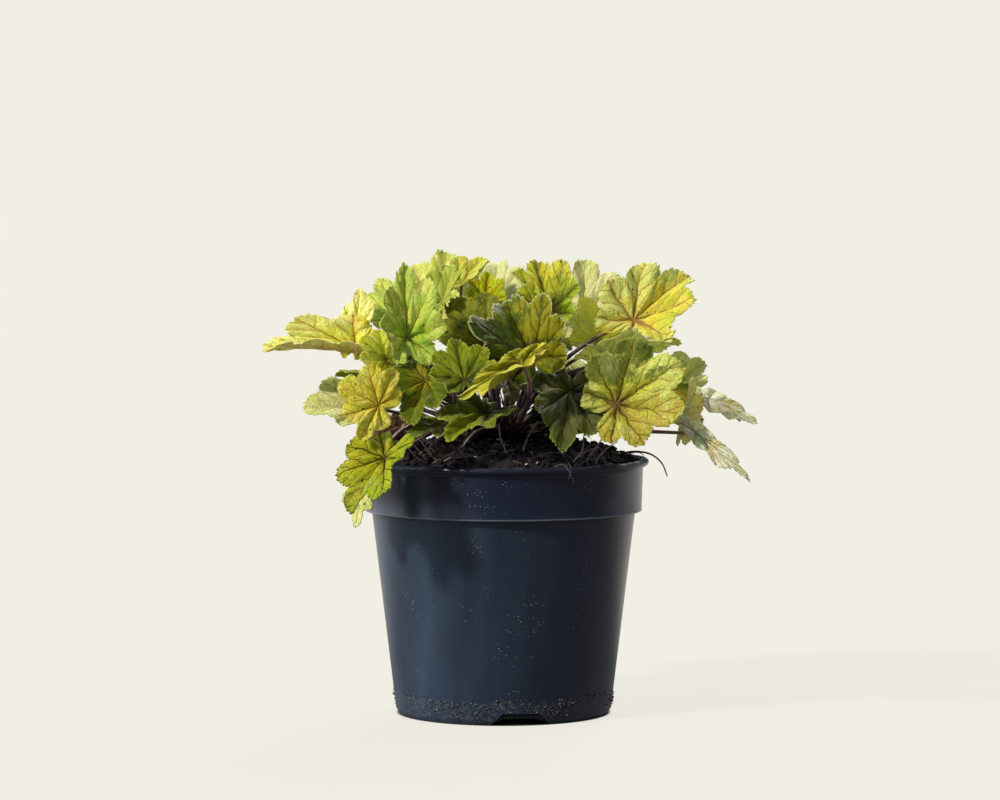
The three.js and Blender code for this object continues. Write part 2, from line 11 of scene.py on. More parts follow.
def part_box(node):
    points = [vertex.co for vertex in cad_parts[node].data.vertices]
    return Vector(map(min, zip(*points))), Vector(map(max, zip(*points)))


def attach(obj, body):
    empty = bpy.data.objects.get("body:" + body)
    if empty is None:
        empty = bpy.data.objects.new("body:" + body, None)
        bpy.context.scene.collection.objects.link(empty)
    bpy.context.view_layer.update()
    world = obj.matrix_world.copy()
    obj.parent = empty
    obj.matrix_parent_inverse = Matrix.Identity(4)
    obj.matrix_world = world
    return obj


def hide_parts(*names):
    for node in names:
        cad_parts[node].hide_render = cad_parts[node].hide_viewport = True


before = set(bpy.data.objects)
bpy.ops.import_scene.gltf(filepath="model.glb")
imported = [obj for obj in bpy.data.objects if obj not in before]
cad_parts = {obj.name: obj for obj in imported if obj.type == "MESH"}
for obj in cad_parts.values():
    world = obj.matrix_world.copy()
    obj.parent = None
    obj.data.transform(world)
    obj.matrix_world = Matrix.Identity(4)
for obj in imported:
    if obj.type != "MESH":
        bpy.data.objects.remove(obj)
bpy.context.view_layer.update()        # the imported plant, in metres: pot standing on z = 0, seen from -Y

mm = 0.001
scene = bpy.context.scene
scene.view_settings.view_transform = "Standard"
print("frame loaded:", len(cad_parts), "nodes")


def linear(colour):  # an sRGB hex colour as the linear values that the sockets take
    parts = [int(colour[i:i + 2], 16) / 255 for i in (1, 3, 5)]
    return [v / 12.92 if v <= 0.04045 else ((v + 0.055) / 1.055) ** 2.4 for v in parts] + [1.0]


def addNode(tree, kind, settings=None):
    # a lower-case key is a choice of the node's own and any other one an input, which takes a value,
    # a hex colour, a node, or a pair of a node and the name of its output
    node = tree.nodes.new("ShaderNode" + kind)
    given = dict(settings or {})
    for key in ("From", "To"):  # the least and the most of a range
        if key in given:
            given[key + " Min"], given[key + " Max"] = given.pop(key)
    for key in [key for key in given if isinstance(key, str) and key[0].islower()]:
        setattr(node, key, given.pop(key))
    for key, value in given.items():
        socket = node.inputs[key] if isinstance(key, int) else next(
            s for s in node.inputs if s.name == key and s.enabled)
        if isinstance(value, tuple) and isinstance(value[0], bpy.types.Node):
            tree.links.new(value[0].outputs[value[1]], socket)
        elif isinstance(value, bpy.types.Node):
            tree.links.new(next(s for s in value.outputs if s.enabled), socket)
        else:
            socket.default_value = linear(value) if isinstance(value, str) else value
    return node


def newMaterial(name):  # an empty material, and addNode bound to its tree
    material = bpy.data.materials.new(name)
    material.use_nodes = True
    material.node_tree.nodes.clear()
    return material, partial(addNode, material.node_tree)


def perMetre(size):  # a pattern's scale from the size in millimetres of one of its features
    return 1000 / size


smooth = {"interpolation_type": "SMOOTHSTEP"}  # a range that eases in and out


def addObject(name, data):
    made = bpy.data.objects.new(name, data)
    scene.collection.objects.link(made)
    return made


def addPiece(name, points, faces, material, replaced=()):
    mesh = bpy.data.meshes.new(name)
    mesh.from_pydata([tuple(p) for p in np.asarray(points, float) * mm], [], faces)
    mesh.materials.append(material)
    mesh.polygons.foreach_set("use_smooth", [True] * len(mesh.polygons))
    piece = addObject(name, mesh)
    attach(piece, "root")
    if replaced:
        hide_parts(*replaced)
    return piece


def sharpen(mesh, degrees):  # edges that bend more than this stay crisp
    form = bmesh.new()
    form.from_mesh(mesh)
    bmesh.ops.recalc_face_normals(form, faces=form.faces)
    for face in form.faces:
        face.smooth = True
    for edge in form.edges:
        edge.smooth = edge.calc_face_angle(0) < math.radians(degrees)
    form.to_mesh(mesh)
    form.free()


def turned(profile, sides):  # a closed solid of revolution from (radius, height) pairs
    points, rows = [], []
    for radius, height in profile:
        if radius < 1e-6:
            rows.append([len(points)] * sides)
            points.append((0, 0, height))
            continue
        rows.append([len(points) + k for k in range(sides)])
        for k in range(sides):
            angle = 2 * math.pi * k / sides
            points.append((radius * math.cos(angle), radius * math.sin(angle), height))
    faces = []
    for low, high in zip(rows, rows[1:]):
        for k in range(sides):
            n = (k + 1) % sides
            corners = [low[k], low[n], high[n], high[k]]
            faces.append([c for i, c in enumerate(corners) if c not in corners[:i]])
    return points, faces


def tube(line, radii, sides, points, faces):  # adds a closed tube along a line to points and faces
    line = np.asarray(line, float)
    along = np.gradient(line, axis=0)
    along /= np.linalg.norm(along, axis=1)[:, None]
    side = np.cross(along[0], (0.3, 0.2, 0.93))
    base = len(points)
    for centre, forward, radius in zip(line, along, radii):
        side = side - forward * np.dot(side, forward)
        side /= np.linalg.norm(side)
        other = np.cross(forward, side)
        for k in range(sides):
            angle = 2 * math.pi * k / sides
            points.append(centre + radius * (math.cos(angle) * side + math.sin(angle) * other))
    for low in range(base, base + (len(line) - 1) * sides, sides):
        for k in range(sides):
            n = (k + 1) % sides
            faces.append((low + k, low + n, low + sides + n, low + sides + k))
    faces.append([base + k for k in reversed(range(sides))])
    faces.append([base + (len(line) - 1) * sides + k for k in range(sides)])


# camera, lamps and the table that the pot stands on
cameraSet = {
    "place": (-1.6, -1730, 236),  # millimetres
    "aim": (-1.6, 0, 140),
    "lens": 139.5,
    "clips": (0.1, 100),  # metres
}
lightSet = {
    "backdrop": "#f1eee3",
    "roomColour": "#d6dcea",
    "behind": 1.0,  # the room's light against the backdrop: bright behind the plant
    "before": 0.32,  # dimmer on the camera's side
    "left": 2.8,  # and a large window to the left
    "suns": {  # where each one shines from, its strength, colour, and softness in degrees
        "keySun": ((-0.66, -0.52, 0.62), 4.5, "#fff5e2", 6),  # upper left, in front
        "backSun": ((0.25, 0.8, 0.7), 3.0, "#fffaf0", 25),  # above and behind, through the leaves
        "fillSun": ((0.55, -0.6, 0.6), 0.3, "#fbf8f0", 50),  # a broad soft lamp on the right
    },
    "tableHalf": 40,  # metres
    "tableGlow": (0.878, 0.2),  # as the camera sees it, and as it lights the plant
    "tableBehind": 0.9,  # its glow far behind the pot, which shows in the edges of the plastic
    "tableColour": "#f0eee4",
    "tableMatt": ("#413f3b", "#42403c"),
    "paintedShadowUnderPot": (0.047, 0.0485),  # metres from the axis: the glow stops where the pot stands on it, a painted shadow under the pot
}


def turnTo(thing, way, axis):
    thing.rotation_mode = "QUATERNION"
    thing.rotation_quaternion = Vector(way).to_track_quat(axis, "Y")


def makeCamera():
    camera = addObject("camera", bpy.data.cameras.new("camera"))
    place, aim = (Vector(cameraSet[key]) * mm for key in ("place", "aim"))
    camera.location = place
    turnTo(camera, aim - place, "-Z")
    camera.data.lens = cameraSet["lens"]
    camera.data.clip_start, camera.data.clip_end = cameraSet["clips"]
    scene.camera = camera


def makeRoom():
    world = bpy.data.worlds.new("paleStudio")
    scene.world = world
    world.use_nodes = True
    world.node_tree.nodes.clear()
    add = partial(addNode, world.node_tree)
    seen = add("Background", {"Color": lightSet["backdrop"], "Strength": 1.0})
    axes = add("SeparateXYZ", {0: (add("TexCoord"), "Generated")})
    depth = add("MapRange", {**smooth, "From": (-0.2, 0.5), "Value": (axes, "Y"),
                             "To": (lightSet["before"], lightSet["behind"])})
    window = add("MapRange", {**smooth, "From": (-0.95, -0.3), "To": (lightSet["left"], 0),
                              "Value": (axes, "X")})
    both = add("Math", {"operation": "ADD", 0: depth, 1: window})
    room = add("Background", {"Color": lightSet["roomColour"], "Strength": both})
    mix = add("MixShader", {0: (add("LightPath"), "Is Camera Ray"), 1: room, 2: seen})
    add("OutputWorld", {"Surface": mix})


def tableMaterial():
    # opal acrylic over lamps: it glows like the backdrop, so only soft shadows show on it
    material, add = newMaterial("opalLightTable")
    cloud = add("TexNoise", {"Scale": 2, "Detail": 2})
    tint = add("Mix", {"data_type": "RGBA", "Factor": cloud, "A": lightSet["tableMatt"][0],
                       "B": lightSet["tableMatt"][1]})
    matt = add("BsdfDiffuse", {"Color": tint})
    seenGlow, castGlow = lightSet["tableGlow"]
    spot = add("NewGeometry")
    cast = add("MapRange", {"From": (0.1, 0.35), "To": (castGlow, lightSet["tableBehind"]),
                            "Value": (add("SeparateXYZ", {0: spot}), "Y")})
    power = add("MapRange", {"Value": (add("LightPath"), "Is Camera Ray"), "To": (cast, seenGlow)})
    fromPot = add("VectorMath", {"operation": "LENGTH", 0: spot})
    # painted shadow: the table's glow fades out beneath the pot's foot
    paintedPotShadow = add("MapRange", {"From": lightSet["paintedShadowUnderPot"], "Value": fromPot})
    glowWithPaintedShadow = add("Math", {"operation": "MULTIPLY", 0: power, 1: paintedPotShadow})
    glow = add("Emission", {"Color": lightSet["tableColour"], "Strength": glowWithPaintedShadow})
    add("OutputMaterial", {"Surface": add("AddShader", {0: matt, 1: glow})})
    return material


def makeStudio():
    makeCamera()
    makeRoom()
    for name, (origin, strength, colour, softness) in lightSet["suns"].items():
        sun = bpy.data.lights.new(name, "SUN")
        sun.energy, sun.color, sun.angle = strength, linear(colour)[:3], math.radians(softness)
        turnTo(addObject(name, sun), origin, "Z")
    half = lightSet["tableHalf"]
    mesh = bpy.data.meshes.new("floor")
    mesh.from_pydata([(-half, -half, 0), (half, -half, 0), (half, half, 0), (-half, half, 0)],
                     [], [(0, 1, 2, 3)])
    mesh.materials.append(tableMaterial())
    floor = addObject("floor", mesh)
    print("studio ready")


makeStudio()

# the pot, in millimetres, as the nursery container is moulded
potSet = {
    "height": 114, "lipRadius": 65, "lipDepth": 2.9,
    "collarBottom": 91, "collarRadiusLow": 61.8, "collarRadiusHigh": 62.4,
    "bodyRadiusTop": 58.9, "bodyRadiusBottom": 48.3,
    "standRadius": 47, "standWidth": 2, "standHeight": 2.6,
    "wall": 1.2, "floorUnder": 2.4, "floorTop": 3.8, "padRadius": 12, "sides": 168,
    "drains": 3, "drainTurn": -81, "drainLow": 26.5, "drainHigh": 16.5, "drainHeight": 5.3,
    "plastic": "#0d1327", "filmAndPaintedLight": "#314152", "paintedEdgeHighlight": "#5f6e7c", "dust": "#b6bec8",
    "mud": "#4b4e55", "washedSoil": "#17161b",
    # the patterns on it, by the size of one patch or the spacing of the specks
    "filmSize": 14, "speckSpacing": 1.1, "driftSize": 16, "mudSize": 1.1, "tideSize": 9,
    "scratchSize": 5, "tideHeight": (12.5, 15.5), "washedDepth": (1.6, 0.3),
}


def potMaterial():
    # polypropylene, injection moulded: a soft broad sheen, a bloom of dried water painted lighter on the
    # lit left side, dust and mud
    material, add = newMaterial("mouldedPolypropylene")
    place = add("NewGeometry")
    axes = add("SeparateXYZ", {0: place})
    streaks = add("Mapping", {"Scale": (1, 1, 0.16), 0: place})
    film = add("TexNoise", {"Scale": perMetre(potSet["filmSize"]), "Detail": 3, "Roughness": 0.5,
                          "Vector": streaks})
    filmy = add("MapRange", {"From": (0.3, 0.75), "To": (0.3, 0.75), "Value": film})
    # the film is thin on the collar, and it grows towards the left: painted light for the pot's lit left
    # side
    collar = potSet["collarBottom"] * mm
    belowCollar = add("MapRange", {"From": (collar - 0.002, collar + 0.001), "To": (1, 0.25),
                                   "Value": (axes, "Z")})
    paintedLightOnLeft = add("MapRange", {**smooth, "From": (-0.04, 0.012), "To": (1, 0.42), "Value": (axes, "X")})
    thick = add("Math", {"operation": "MULTIPLY", 0: filmy, 1: belowCollar})
    filmAndPaintedLight = add("Math", {"operation": "MULTIPLY", 0: thick, 1: paintedLightOnLeft})
    # dust specks of about 0.3 mm, gathered in drifts
    grain = add("TexVoronoi", {"Scale": perMetre(potSet["speckSpacing"]), "Vector": place})
    speck = add("MapRange", {"From": (0.1, 0.19), "To": (1, 0), "Value": grain})
    drift = add("TexNoise", {"Scale": perMetre(potSet["driftSize"]), "Detail": 4, "Vector": place})
    drifted = add("MapRange", {"From": (0.52, 0.68), "Value": drift})
    pick = add("SeparateColor", {0: (grain, "Color")})
    few = add("Math", {"operation": "GREATER_THAN", 0: pick, 1: 0.62})
    dusty = add("Math", {"operation": "MULTIPLY", 0: speck, 1: drifted})
    dust = add("Math", {"operation": "MULTIPLY", 0: dusty, 1: few})
    # soil dried on in the lowest 15 mm, with a tide line on top
    splash = add("TexNoise", {"Scale": perMetre(potSet["mudSize"]), "Detail": 5, "Roughness": 0.75,
                            "Vector": place})
    edge = add("TexNoise", {"Scale": perMetre(potSet["tideSize"]), "Vector": place})
    wavy = add("Math", {"operation": "MULTIPLY_ADD", 0: edge, 1: 0.005, 2: (axes, "Z")})
    tide = tuple(height * mm for height in potSet["tideHeight"])
    height = add("MapRange", {"From": tide, "To": (0.53, 0.82), "Value": wavy})
    above = add("Math", {"operation": "SUBTRACT", 0: splash, 1: height})
    mud = add("MapRange", {"From": (0, 0.05), "Value": above})
    # a pale line painted along the moulded edge under the collar: a painted highlight
    fromEdge = add("Math", {"operation": "SUBTRACT", 0: (axes, "Z"), 1: collar})
    nearEdge = add("Math", {"operation": "ABSOLUTE", 0: fromEdge})
    paintedEdgeHighlight = add("MapRange", {"From": (0.0002, 0.0006), "To": (0.75, 0), "Value": nearEdge})
    # watering has washed fine soil over the top of the lip
    top = tuple((potSet["height"] - depth) * mm for depth in potSet["washedDepth"])
    onLip = add("MapRange", {"From": top, "Value": (axes, "Z")})
    patchy = add("MapRange", {"From": (0.36, 0.56), "Value": edge})
    washed = add("Math", {"operation": "MULTIPLY", 0: onLip, 1: patchy})
    colour = add("Mix", {"data_type": "RGBA", "Factor": filmAndPaintedLight, "A": potSet["plastic"],
                         "B": potSet["filmAndPaintedLight"]})
    for cover, over in ((dust, "dust"), (mud, "mud"), (paintedEdgeHighlight, "paintedEdgeHighlight"), (washed, "washedSoil")):
        colour = add("Mix", {"data_type": "RGBA", "Factor": cover, "A": colour, "B": potSet[over]})
    earthy = add("Math", {"operation": "MAXIMUM", 0: mud, 1: washed})
    dull = add("Math", {"operation": "MAXIMUM", 0: earthy, 1: dust})
    rough = add("MapRange", {"To": (0.27, 0.9), "Value": dull})
    rougher = add("Math", {"operation": "MULTIPLY_ADD", 0: filmAndPaintedLight, 1: 0.15, 2: rough})
    shine = add("MapRange", {"To": (0.3, 0.06), "Value": earthy})
    # fine scratches from handling
    hatch = add("Mapping", {"Scale": (0.3, 0.3, 4), "Rotation": (0.2, 0.1, 0), 0: place})
    scratch = add("TexNoise", {"Scale": perMetre(potSet["scratchSize"]), "Detail": 8,
                             "Roughness": 0.75, "Vector": hatch})
    relief = add("Math", {"operation": "ADD", 0: scratch, 1: mud})
    bump = add("Bump", {"Strength": 0.08, "Distance": 0.0003, "Height": relief})
    shader = add("BsdfPrincipled", {"IOR": 1.49, "Base Color": colour, "Roughness": rougher,
                                    "Normal": bump, "Specular IOR Level": shine})
    add("OutputMaterial", {"Surface": shader})
    return material


def potProfile():
    p = potSet
    stand, foot, pad = p["standRadius"] - p["standWidth"], p["bodyRadiusBottom"], p["padRadius"]
    body, collar, wall, under = p["bodyRadiusTop"], p["collarBottom"], p["wall"], p["floorUnder"]
    top, lip = p["height"], p["height"] - p["lipDepth"]
    low, high = p["collarRadiusLow"], p["collarRadiusHigh"]
    inner = foot - wall
    outside = [
        (0, 0), (pad - 0.3, 0), (pad + 0.2, 0.4), (pad + 1, under), (stand - 1.4, under), (stand, 0.3),
        (stand + 0.3, 0), (p["standRadius"] - 0.3, 0), (p["standRadius"], 0.35),
        (foot - 0.2, p["standHeight"] - 0.5), (foot, p["standHeight"]),
    ]
    rise = collar - 0.6 - p["standHeight"]
    for i in range(1, 8):  # straight tapered body
        share = i / 8
        outside.append((foot + share * (body - foot), p["standHeight"] + share * rise))
    outside += [
        (body, collar - 0.6), (body + 0.25, collar - 0.3), (low - 0.5, collar - 0.3),
        (low - 0.1, collar - 0.2), (low + 0.15, collar + 0.1), (low + 0.15, collar + 0.4),
        (low + 0.02, collar + 0.8), ((low + high) / 2, (collar + lip) / 2),
        (high, lip - 1.1), (high + 0.5, lip - 0.45), (high + 1.6, lip - 0.1),
    ]
    bead = p["lipDepth"] / 2
    centre = (p["lipRadius"] - bead, top - bead)  # the rim's outer edge is rolled round
    for degrees in range(-70, 91, 20):
        angle = math.radians(degrees)
        outside.append((centre[0] + bead * math.cos(angle), centre[1] + bead * math.sin(angle)))
    inside = [
        (high, top), (high - wall + 0.3, top - 0.6), (high - wall, top - 2), (low - wall, collar + 1.6),
        (body - wall, collar + 0.9), (inner, p["floorTop"] + 0.8), (inner - 1.4, p["floorTop"]),
        (0, p["floorTop"]),
    ]
    return outside + inside


def cutDrain(pot, turn):  # a notch through the standing ring, wider below
    low, high, tall = (potSet[key] for key in ("drainLow", "drainHigh", "drainHeight"))
    near, far = potSet["standRadius"] - 4, potSet["standRadius"] + 8
    section = [(-low / 2 - 1, -1), (low / 2 + 1, -1), (high / 2, tall), (-high / 2, tall)]
    out, side = (math.cos(turn), math.sin(turn)), (-math.sin(turn), math.cos(turn))
    corners = [((r * out[0] + s * side[0]) * mm, (r * out[1] + s * side[1]) * mm, z * mm)
               for r in (near, far) for s, z in section]
    mesh = bpy.data.meshes.new("drain")
    mesh.from_pydata(corners, [], [(0, 1, 2, 3), (7, 6, 5, 4)] + [
        (k, k + 4, (k + 1) % 4 + 4, (k + 1) % 4) for k in range(4)])
    sharpen(mesh, 30)
    cutter = addObject("drain", mesh)
    cut = pot.modifiers.new("drain", "BOOLEAN")
    cut.operation, cut.solver, cut.object = "DIFFERENCE", "EXACT", cutter
    pot.data = bpy.data.meshes.new_from_object(
        pot.evaluated_get(bpy.context.evaluated_depsgraph_get()))
    pot.modifiers.clear()
    bpy.data.objects.remove(cutter)


def makePot():
    points, faces = turned(potProfile(), potSet["sides"])
    pot = addPiece("nurseryPot", points, faces, potMaterial(), ["pot"])
    for i in range(potSet["drains"]):
        cutDrain(pot, math.radians(potSet["drainTurn"] + i * 360 / potSet["drains"]))
    pot.data.name = "nurseryPot"
    sharpen(pot.data, 28)
    print("pot turned and its drains cut:", len(pot.data.polygons), "faces")


makePot()

# the soil, in millimetres
soilSet = {
    "edge": 111.8, "rise": 11, "radius": 60.6, "sides": 150, "rings": 44, "seed": 11,
    "bed": [(0, 4.1), (45.2, 4.1), (46.6, 5.2), (57.2, 92.2), (60.1, 93.1), (60.3, 109.5)],
    # grains on it: how many, how far out, least and most size, how rare the large ones are
    "crumbs": (3400, 60.2, 0.5, 3.0, 2.2),
    "perlite": (46, 59, 0.7, 2.0, 1.6),
    # crumbs that dried on to the foot of the pot: how many, and size and height as least and range
    "stuck": {"count": 1500, "size": (0.2, 0.8), "height": (3.2, 8.6)},
    "litterReach": 58, "inside": 60,  # nothing loose lies farther out than the second
    "bark": {"count": 150, "length": (1.5, 5), "thick": (0.25, 0.6), "sides": 4},
    "fibres": {"count": 70, "length": (5, 15), "thick": (0.09, 0.18), "sides": 3},
}
# everything dead and dry: dark and light colour, millimetres of a mottle, roughness
earths = {
    "pottingMix": ("#06050a", "#141119", 2.2, 0.95),
    "expandedPerlite": ("#d8d3c6", "#f3efe4", 0.8, 0.9),
    "driedEarth": ("#1f2025", "#777a80", 0.9, 0.95),
    "shreddedBark": ("#3d2a1d", "#6a5442", 1.2, 0.9),
    "darkRoots": ("#100d0d", "#2a2322", 1.5, 0.7),
    "paleRoots": ("#57524f", "#8e8880", 1.5, 0.7),
    "dryScalyCrown": ("#150d13", "#3c2c30", 1.5, 0.85),
    "bleachedStalks": ("#5c4a56", "#b3a2aa", 1.2, 0.8),
}
# roots that have come out of the soil, over the rim too: thickness, and the stops of each
looseRoots = {
    "darkRoots": [
        (0.6, [(47, -8, 114), (56, -12, 117.5), (64.5, -15, 117), (70, -16, 113), (72.6, -16, 107)]),
        (0.3, [(50, -20, 115), (57, -24, 118), (61, -25, 117.5), (62.5, -24, 114)]),
        (0.3, [(12, -48, 117), (20, -53, 120), (27, -52, 119), (33, -55, 114)]),
        (0.25, [(-22, -46, 117), (-14, -53, 119.5), (-6, -55, 117), (1, -58, 113.4)]),
    ],
    "paleRoots": [
        (0.1, [(22, -54, 114), (25.5, -62, 115.6), (28, -66.2, 113), (30.5, -66, 107.5)]),
        (0.09, [(27, -54, 114), (28.5, -62, 115.2), (29, -65.8, 113.4), (27.8, -65.6, 109.4)]),
        (0.14, [(30, -42, 117), (35, -46, 121), (40, -45, 123), (43, -44, 119), (42, -46, 115)]),
        (0.13, [(34, -40, 117), (38, -42, 124), (37, -44, 126), (33, -45, 122)]),
        (0.14, [(-30, -40, 117), (-24, -44, 121), (-19, -47, 120), (-15, -46, 115)]),
    ],
}


def soilHeight(radius):
    share = min(1.0, radius / soilSet["radius"])
    return soilSet["edge"] + soilSet["rise"] * (1 - share ** 3)


def earthMaterial(name):
    # peat and compost, sieved, and what lies in it: no gloss but a little where it is wet,
    # mottled crumb by crumb
    dark, light, size, roughness = earths[name]
    material, add = newMaterial(name)
    place = add("NewGeometry")
    mottle = add("TexNoise", {"Scale": perMetre(size), "Detail": 5, "Roughness": 0.7, "Vector": place})
    share = add("MapRange", {"From": (0.35, 0.72), "Value": mottle})
    colour = add("Mix", {"data_type": "RGBA", "Factor": share, "A": dark, "B": light})
    pit = add("TexNoise", {"Scale": perMetre(0.6), "Detail": 4, "Vector": place})
    bump = add("Bump", {"Strength": 0.5, "Distance": 0.0004, "Height": pit})
    rough = add("MapRange", {"To": (roughness - 0.15, roughness), "Value": mottle})
    shader = add("BsdfPrincipled", {"Specular IOR Level": 0.3, "Base Color": colour,
                                    "Roughness": rough, "Normal": bump})
    add("OutputMaterial", {"Surface": shader})
    return material


def onMound(draw, count, reach, least, most, skew):  # grains lying on the soil: centre and size
    places = []
    for _ in range(count):
        radius = reach * math.sqrt(draw.random())
        angle = draw.uniform(0, 2 * math.pi)
        size = least + (most - least) * draw.random() ** skew
        height = soilHeight(radius) + size * draw.uniform(-0.1, 0.45)
        places.append(((radius * math.cos(angle), radius * math.sin(angle), height), size))
    return places


def grainTemplates(seed, subdivisions, roughness):  # nine ico spheres, each bent out of shape
    draw = random.Random(seed)
    made = []
    for _ in range(9):
        form = bmesh.new()
        bmesh.ops.create_icosphere(form, subdivisions=subdivisions, radius=1)
        shift = Vector((draw.uniform(0, 50), draw.uniform(0, 50), 0))
        corners = [v.co * (1 + roughness * noise.noise(v.co * 1.7 + shift)) for v in form.verts]
        around = [tuple(v.index for v in f.verts) for f in form.faces]
        form.free()
        made.append((np.array(corners), around))
    return made


def addGrains(name, material, templates, places, draw):  # each is a template, turned and stretched
    points, faces = [], []
    for centre, size in places:
        corners, around = templates[draw.randrange(len(templates))]
        turn = np.linalg.qr(np.array([draw.gauss(0, 1) for _ in range(9)]).reshape(3, 3))[0]
        stretch = np.array([draw.uniform(0.6, 1.3) for _ in range(3)])
        base = len(points)
        points.extend(np.array(centre) + (corners * stretch * size / 2) @ turn)
        flip = np.linalg.det(turn) < 0
        faces.extend(tuple(base + k for k in (f[::-1] if flip else f)) for f in around)
    addPiece(name, points, faces, material)


def threaded(stops, count):  # an even, smooth line through the stops
    stops = np.array(stops, float)
    stops = np.vstack([2 * stops[0] - stops[1], stops, 2 * stops[-1] - stops[-2]])
    line = []
    for at in np.linspace(0, len(stops) - 3 - 1e-6, count):
        i, t = int(at), at % 1
        a, b, c, d = stops[i:i + 4]
        line.append(0.5 * (2 * b + (c - a) * t + (2 * a - 5 * b + 4 * c - d) * t ** 2
                           + (3 * b - a - 3 * c + d) * t ** 3))
    return line


def addThreads(name, threads, count, thin, sides):  # one piece of threads with thin ends
    points, faces = [], []
    for thick, stops in threads:
        tube(threaded(stops, count), thick * np.linspace(1, thin, count), sides, points, faces)
    addPiece(name, points, faces, earthMaterial(name))


def makeMound(earth):
    rings = soilSet["rings"]
    surface = [(soilSet["radius"] * (1 - i / rings), 0) for i in range(rings)] + [(0, 0)]
    points, faces = turned(soilSet["bed"] + surface, soilSet["sides"])
    for i, (x, y, z) in enumerate(points):
        if z:
            continue
        at = Vector((x, y, 0))
        coarse = noise.noise(at / 7) * 1.3 + noise.noise(at / 2.6) * 0.9
        fine = noise.noise(at / 1.1 + Vector((9, 0, 0))) * 0.5
        calm = min(1.0, (soilSet["radius"] - at.length) / 4)  # level with the wall at its edge
        points[i] = (x, y, soilHeight(at.length) + (coarse + fine) * (0.35 + 0.65 * calm))
    addPiece("pottingMix", points, faces, earth, ["soil"])


def stuckPlaces(draw):  # where the crumbs on the pot's foot dried, in drifts round it
    places = []
    taper = (potSet["bodyRadiusTop"] - potSet["bodyRadiusBottom"]) / potSet["collarBottom"]
    (least, more), (lowest, rise) = soilSet["stuck"]["size"], soilSet["stuck"]["height"]
    while len(places) < soilSet["stuck"]["count"]:
        angle, size = draw.uniform(0, 2 * math.pi), least + more * draw.random() ** 4
        height = lowest + rise * draw.random() ** 0.7
        drift = noise.noise(Vector((2.2 * math.cos(angle), 2.2 * math.sin(angle), height / 9)))
        if drift < draw.uniform(-0.25, 0.35):
            continue
        radius = potSet["bodyRadiusBottom"] + taper * height + size * 0.12
        places.append(((radius * math.cos(angle), radius * math.sin(angle), height), size))
    return places


def makeLitter(draw):  # bark chips and fibres lie on the mound, a few stick up
    points, faces = [], []
    kinds = [kind for kind in (soilSet["bark"], soilSet["fibres"]) for _ in range(kind["count"])]
    fullTurn = 6.283
    for i, kind in enumerate(kinds):
        radius = soilSet["litterReach"] * math.sqrt(draw.random())
        angle, turn = draw.uniform(0, fullTurn), draw.uniform(0, fullTurn)
        length, thick = draw.uniform(*kind["length"]), draw.uniform(*kind["thick"])
        ahead = np.array([math.cos(turn), math.sin(turn), draw.uniform(-0.1, 0.5)])
        start = np.array([radius * math.cos(angle), radius * math.sin(angle), 0])
        line = []
        for k in range(6):
            p = start + ahead * length * (k / 5 - 0.5)
            p += np.array(noise.noise_vector(Vector(p) / 5 + Vector((i, 0, 0)))) * length * 0.12
            out = math.hypot(p[0], p[1])
            if out > soilSet["inside"]:
                p[:2] *= soilSet["inside"] / out
            p[2] += soilHeight(math.hypot(p[0], p[1])) + thick * 0.5
            line.append(p)
        radii = [thick * (0.55 + 0.45 * math.sin(math.pi * (k + 0.5) / 6)) for k in range(6)]
        tube(line, radii, kind["sides"], points, faces)
    addPiece("barkAndFibres", points, faces, earthMaterial("shreddedBark"))


def makeSoil():
    draw = random.Random(soilSet["seed"])
    noise.seed_set(soilSet["seed"])  # or the bark would lie otherwise in each run
    earth = earthMaterial("pottingMix")
    makeMound(earth)
    crumbs = onMound(draw, *soilSet["crumbs"])
    forms = grainTemplates(seed=3, subdivisions=1, roughness=0.55)
    addGrains("soilCrumbs", earth, forms, crumbs, draw)
    pearls = onMound(draw, *soilSet["perlite"])
    forms = grainTemplates(seed=4, subdivisions=2, roughness=0.5)
    addGrains("perliteGrains", earthMaterial("expandedPerlite"), forms, pearls, draw)
    forms = grainTemplates(seed=5, subdivisions=1, roughness=0.5)
    addGrains("clingingCrumbs", earthMaterial("driedEarth"), forms, stuckPlaces(draw), draw)
    makeLitter(draw)
    for name, threads in looseRoots.items():
        addThreads(name, threads, count=25, thin=0.45, sides=5)
    print("soil filled:", len(crumbs), "crumbs")


makeSoil()

# the leaves
bladeSet = {
    "sinusDepth": 0.78, "pucker": 0.035, "hinge": 0.08, "bendSteps": 12,
    "turnVaries": 6, "lengthVaries": 0.16, "outerTooth": (0.56, 0.94), "innerTooth": (0.3, 0.93),
    "cleft": {"turn": 156, "reach": 0.74, "foot": 0.09, "steps": 6, "bulge": 0.12},
    "thick": 0.34,  # millimetres
    "rings": (0.05, 0.12, 0.2, 0.29, 0.38, 0.47, 0.56, 0.65, 0.74, 0.82, 0.89, 0.945, 0.98, 1.0),
    "teeth": (0.0, 0.17, 0.38, 0.59, 0.8, 1.0),  # where the notches stand from tip to sinus
    "alongTooth": (0.24, 0.62, 1.0), "toothDepth": 0.042, "toothVaries": 0.6,
    "round": 0.6, "sideVein": 0.23, "lean": (1.1, 0.9), "turnTaking": 0.25,
    "quilt": 0.028, "groove": 0.02, "crumple": 0.042, "ruffle": 0.026, "lobeBend": 0.08,
    "keel": 0.3,  # millimetres that the main veins stand out below
}
lobes = [(-126, 0.54), (-84, 0.73), (-42, 0.88), (0, 1), (42, 0.88), (84, 0.73), (126, 0.54)]

